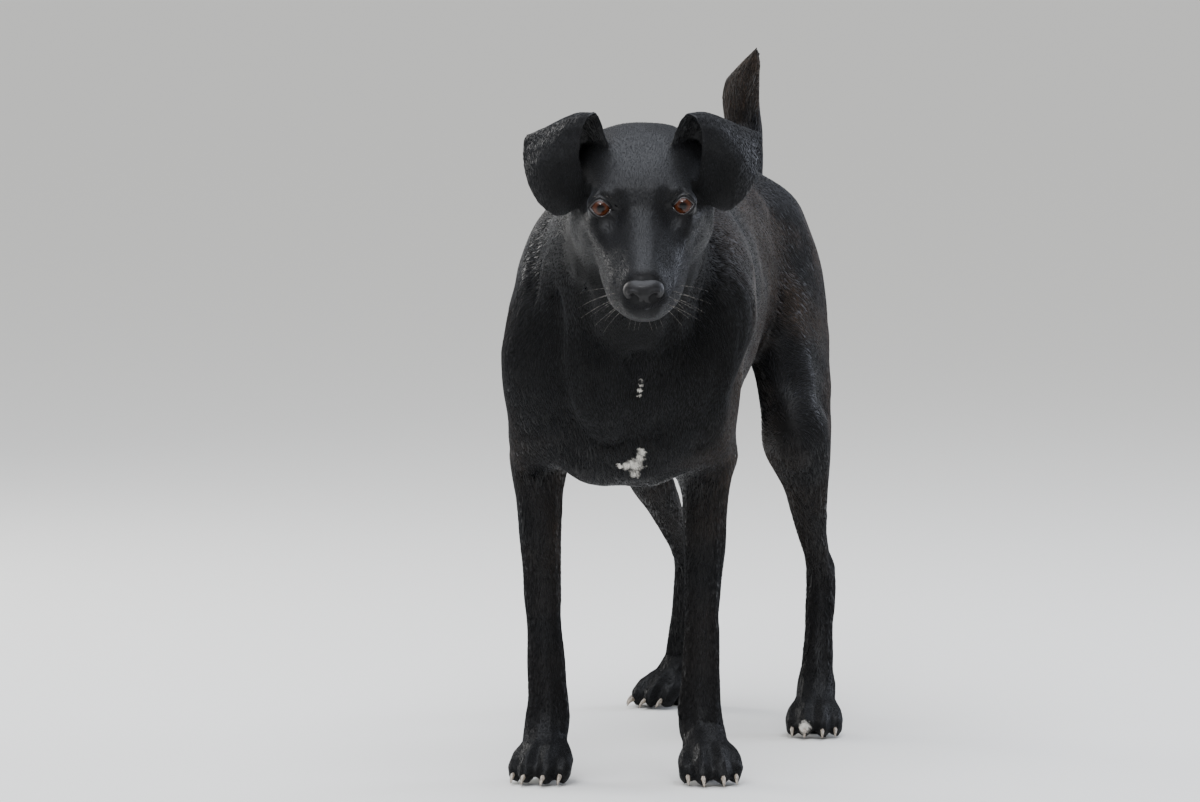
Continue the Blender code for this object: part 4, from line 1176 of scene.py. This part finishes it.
# %% A thinned copy of the skin, unwrapped
MAP_FACES = 6000
bpy.ops.object.select_all(action="DESELECT")
flat_copy = skin.copy()
flat_copy.data = skin.data.copy()
bpy.context.scene.collection.objects.link(flat_copy)
with_modifier(flat_copy, "DECIMATE", ratio=MAP_FACES / triangle_count(flat_copy))
with_modifier(flat_copy, "TRIANGULATE")
edit_whole(flat_copy, lambda: bpy.ops.uv.smart_project(angle_limit=math.radians(66),
                                                       island_margin=0.004))
map_spots = points_of(flat_copy)
map_faces = triangles_of(flat_copy)
map_uv = np.empty(len(flat_copy.data.loops) * 2, np.float32)
flat_copy.data.uv_layers.active.data.foreach_get("uv", map_uv)
map_uv = map_uv.reshape(-1, 3, 2).astype(float)
map_tree = BVHTree.FromPolygons(map_spots.tolist(), map_faces.tolist())
bpy.data.objects.remove(flat_copy)
print("flat map:", len(map_faces), "faces")


def on_map(points):
    """Where points of the skin sit on its flat map."""
    spot, _, face = nearest(map_tree, points)
    a, b, c = (map_spots[map_faces[face, corner]] for corner in range(3))
    whole = np.cross(b - a, c - a)
    area = np.maximum((whole * whole).sum(1), 1e-20)
    share_b = (np.cross(spot - a, c - a) * whole).sum(1) / area
    share_c = (np.cross(b - a, spot - a) * whole).sum(1) / area
    shares = np.clip(np.stack([1 - share_b - share_c, share_b, share_c], axis=1), 0, 1)
    return (shares[:, :, None] * map_uv[face]).sum(1)


# %% [markdown]
# ## Tufts
#
# A tuft is a closed sliver of five points: a root under the skin, two sides, a raised middle and a
# tip. They are scattered over the skin by area, long on the trunk and tail, short on the
# head, ears and feet and shortest on the muzzle, and each lies along the lie of the coat and
# follows the curve of the skin. Tufts are all alike in build, so arrays make them at once.

# %% How long the coat is, everywhere
TRUNK_LENGTH = 12.5  # millimetres, as all of these
LEGS_LESS, BREECH_MORE, TAIL_MORE = 3.5, 2.5, 3.0
HEAD_LENGTH, MUZZLE_LESS, PAW_LENGTH = 5.2, 2.0, 4.5
SLIMNESS = 17  # a tuft's length over its width
tail_share = smooth_step(spots[:, 1], 0.365, 0.39) * smooth_step(spots[:, 2], 0.46, 0.50)
BREECH = [(0.04, 0.385, 0.47), (0.06, 0.37, 0.33)]  # down the back of each thigh
breech = [falloff(distance_to_line(spots, on_side(BREECH, side)), 0.05) for side in (1, -1)]
breech = np.maximum(*breech)
leg_share = 1 - smooth_step(spots[:, 2], 0.20, 0.30)
muzzle = 1 - smooth_step(local[:, 1], -70, 10)
length = TRUNK_LENGTH - LEGS_LESS * leg_share + BREECH_MORE * breech + TAIL_MORE * tail_share
length += (HEAD_LENGTH - MUZZLE_LESS * muzzle - length) * head_share
length += (PAW_LENGTH - length) * paw_share
coverage = 0.50 + 0.35 * leg_share + 0.50 * head_share  # skin per tuft, as a share of its own area
width = length / SLIMNESS
plot = length * width * coverage * (1 + 0.45 * head_share)  # square mm of skin per tuft
print("tuft length in mm:", round(length.min(), 1), "to", round(length.max(), 1))

# %% Scattering the roots
BARE_EYE, BARE_NOSE = 13.2, 15.8  # millimetres from their middles
skin_faces = triangles_of(skin)
corner_a, corner_b, corner_c = (spots[skin_faces[:, corner]] for corner in range(3))
face_area = np.linalg.norm(np.cross(corner_b - corner_a, corner_c - corner_a), axis=1) / 2
expected = face_area / MM**2 / plot[skin_faces].mean(1)
covered = (nose_gap > BARE_NOSE) | (local[:, 1] > -70)
covered &= (eye_gap > BARE_EYE) & (spots[:, 2] > 0.004)
expected *= covered[skin_faces].all(1)
dice = np.random.default_rng(21)
counts = np.floor(expected + dice.random(len(expected))).astype(int)
face = np.repeat(np.arange(len(counts)), counts)
first, second = np.sqrt(dice.random(len(face))), dice.random(len(face))
shares = np.stack([1 - first, first * (1 - second), first * second], axis=1)


def at_roots(values):
    """A value of the skin's points, at each root."""
    corners = values[skin_faces[face]]
    return np.einsum("ij,ij...->i...", shares, corners)


root = at_roots(spots)
root_normal = at_roots(normals_of(skin))
root_normal /= np.linalg.norm(root_normal, axis=1, keepdims=True)
root_lie = flat_on(at_roots(lie), root_normal)
across = np.cross(root_normal, root_lie)
root_lie = flat_on(root_lie + across * dice.normal(0, 0.10, len(root))[:, None], root_normal)
across = np.cross(root_normal, root_lie)
root_length = at_roots(length) * MM * dice.uniform(0.75, 1.2, len(root))
root_width = at_roots(width) * MM * dice.uniform(0.8, 1.2, len(root))
print("tufts:", len(root))

# %% Laying each tuft along the skin
skin_tree = tree_of(skin)


def reached(chosen, share):
    """Where on the skin the chosen tufts lie, at a share of their length, and the way out there."""
    return nearest(skin_tree, root[chosen] + root_lie[chosen] * (root_length[chosen] * share)[:, None])[:2]


TUFT_FACES = np.array([(0, 3, 1), (0, 2, 3), (1, 3, 4), (3, 2, 4), (0, 1, 4), (0, 4, 2)])
LOW_LIFT, TRUNK_LIFT = 0.22, 0.38  # millimetres off the skin; the trunk's is added to the low one
FLAT_ENOUGH = 0.94  # how well root and tip have to agree on the way out of the skin
lift = MM * (LOW_LIFT + TRUNK_LIFT * (1 - at_roots(np.maximum(head_share, paw_share))))
everywhere = slice(None)
middle, middle_out = reached(everywhere, 0.5)
tip, tip_out = reached(everywhere, 1.0)
bend = (root_normal * tip_out).sum(1)
curled = np.nonzero(bend < FLAT_ENOUGH)[0]  # in a fold or over an edge, so laid shorter
root_length[curled] *= np.clip(bend[curled], 0.5, 1) ** 1.6
middle[curled], middle_out[curled] = reached(curled, 0.5)
tip[curled], tip_out[curled] = reached(curled, 1.0)
lift[curled] *= 0.6
tip_lift = lift * dice.uniform(0.5, 1.25, len(root))
half = (across.T * root_width / 2).T
low = (middle_out.T * lift * 0.25).T
tuft_points = np.stack([
    root - (root_normal.T * lift * 0.5).T,
    middle + low - half,
    middle + low + half,
    middle + (middle_out.T * (lift * 0.85 + root_width * 0.25)).T,
    tip + (tip_out.T * tip_lift).T,
], axis=1)
tuft_tone = dice.normal(0.42, 0.2, len(root)) + 0.12 * waves(root, 0.012, seed=31)
tuft_tone = np.clip(tuft_tone, 0, 1)
print("tufts laid, of them shortened:", len(curled))

# %% Coat pieces, one for each part of the body
UV_PATCH = 0.003
PATCH_SHAPE = UV_PATCH * np.array([(0, -0.5), (-0.5, 0), (0.5, 0), (0, 0.1), (0, 0.5)])


def coat_region(points):
    """A name for the part of the body that each root grows on."""
    ears = in_head(points)
    is_ear = (np.abs(ears[:, 0]) > 50) & (ears[:, 1] < 95) & (ears[:, 2] > -20)
    rear = np.where(points[:, 1] < 0.14, "barrel", "hindquarters")
    names = np.where(points[:, 1] < -0.012, "chest", rear)
    names = np.where((points[:, 1] > 0.375) & (points[:, 2] > 0.47), "tail", names)
    legs = np.where(points[:, 1] < 0.05, "forelegs", "hindlegs")
    names = np.where(points[:, 2] < 0.262, legs, names)
    is_neck = (points[:, 1] < -0.19) & (points[:, 2] > 0.42)
    names = np.where(is_neck, "neck", names)
    names = np.where(headness(points) > 0.5, "head", names)
    names = np.where(is_ear & (headness(points) > 0.5), "ears", names)
    sides = np.where(points[:, 0] > np.where(names == "head", 0.036, 0.0), "_left", "_right")
    return np.where(names == "tail", names, np.char.add(names, sides))


region = coat_region(root)
for name in np.unique(region):
    chosen = np.nonzero(region == name)[0]
    count = len(chosen)
    mesh = bpy.data.meshes.new("coat_" + name)
    mesh.vertices.add(count * 5)
    mesh.vertices.foreach_set("co", tuft_points[chosen].astype(np.float32).ravel())
    corners = (np.arange(count)[:, None, None] * 5 + TUFT_FACES).ravel().astype(np.int32)
    mesh.loops.add(len(corners))
    mesh.loops.foreach_set("vertex_index", corners)
    mesh.polygons.add(count * 6)
    mesh.polygons.foreach_set("loop_start", np.arange(0, len(corners), 3, dtype=np.int32))
    mesh.polygons.foreach_set("use_smooth", np.ones(count * 6, bool))
    flat_map = mesh.uv_layers.new(name="OFBake")
    place = on_map(root[chosen])[:, None, :] + PATCH_SHAPE
    flat_map.data.foreach_set("uv", place.reshape(-1, 2)[corners].astype(np.float32).ravel())
    mesh.update()
    mesh.validate()
    coat = bpy.data.objects.new("coat_" + name, mesh)
    bpy.context.scene.collection.objects.link(coat)
    float_attribute(coat, "tone", np.repeat(tuft_tone[chosen], 5))
    float_attribute(coat, "along", np.tile([0, 0.45, 0.45, 0.5, 1], count))
    coat.data.materials.append(coat_finish)
    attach(coat, "root")
    print(coat.name, count * 6, "triangles")

# %% [markdown]
# ## Whiskers
#
# Whiskers are single stiff hairs from the pads of the upper lip, the brow and the chin. Each is a
# thin tube that tapers to nothing and curves back and down. They are joined into one piece.


# %% Whiskers on lip, brow and chin
def whisker(start, way, length, sag):
    """A tapering tube in the head's frame, in millimetres, that bends back and down."""
    shares = np.linspace(0, 1, 7)[:, None]
    way = one_long(way)
    line = np.array(start) + way * length * shares + np.array((0, 0.35, -1)) * sag * shares**2
    return tube("whisker", from_head(line), np.linspace(0.19, 0.05, 7) * MM, sides=5)


def grow(near, way, spread, length, spare, sag):
    """A whisker from the skin nearest to a place in the head's frame, with some chance in it."""
    spot = in_head(nearest(skin_tree, [from_head(near)])[0])[0]
    way = np.array(way) + dice.normal(0, spread, 3)
    length += dice.uniform(-spare, spare)
    hairs.append(whisker(spot, way, length, dice.uniform(*sag) if isinstance(sag, tuple) else sag))


dice = np.random.default_rng(8)
skin_tree = tree_of(skin)
hairs = []
for side in (1, -1):
    for row, column in np.ndindex(3, 3):  # on the lip
        near = (side * (17 + 2.5 * column), -90 + 9.0 * column, -39 - 5.5 * row)
        way = (side * (1.0 + 0.2 * column), -0.45 + 0.32 * column, -0.25 - 0.22 * row)
        grow(near, way, 0.08, 20 + 5 * column, 4, (3, 8))
    for column in range(4):  # over the eye
        near = (side * (27 + 4 * column), -12 + 2 * column, 17)
        grow(near, (side * (0.15 + 0.2 * column), -0.75, 0.9), 0.08, 9, 3, 1.5)
    for column in range(3):  # under the chin
        near = (side * (4 + 4 * column), -88 + 7 * column, -68)
        grow(near, (side * 0.4, -0.35, -1.0), 0.1, 9, 3, 1.5)
whiskers = joined(hairs, "whiskers")
# Stiff keratin hair, dry and half matt, that turns grey every few millimetres where its pigment
# has run out, so that it shows on the black coat.
whisker_keratin = new_material("stiff_grey_whisker_keratin", Roughness=0.4)
pigment = node(whisker_keratin, "TexNoise", Scale=60.0, Detail=2.0)
greying = ramp(whisker_keratin, pigment, (0.44, "#1d1b1a"), (0.64, "#7d7871"))
finish(whisker_keratin, Base_Color=greying)
whiskers.data.materials.append(whisker_keratin)
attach(whiskers, "root")
print("whiskers:", len(hairs))

# %% Finish
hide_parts(*FLESH)
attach(skin, "root")
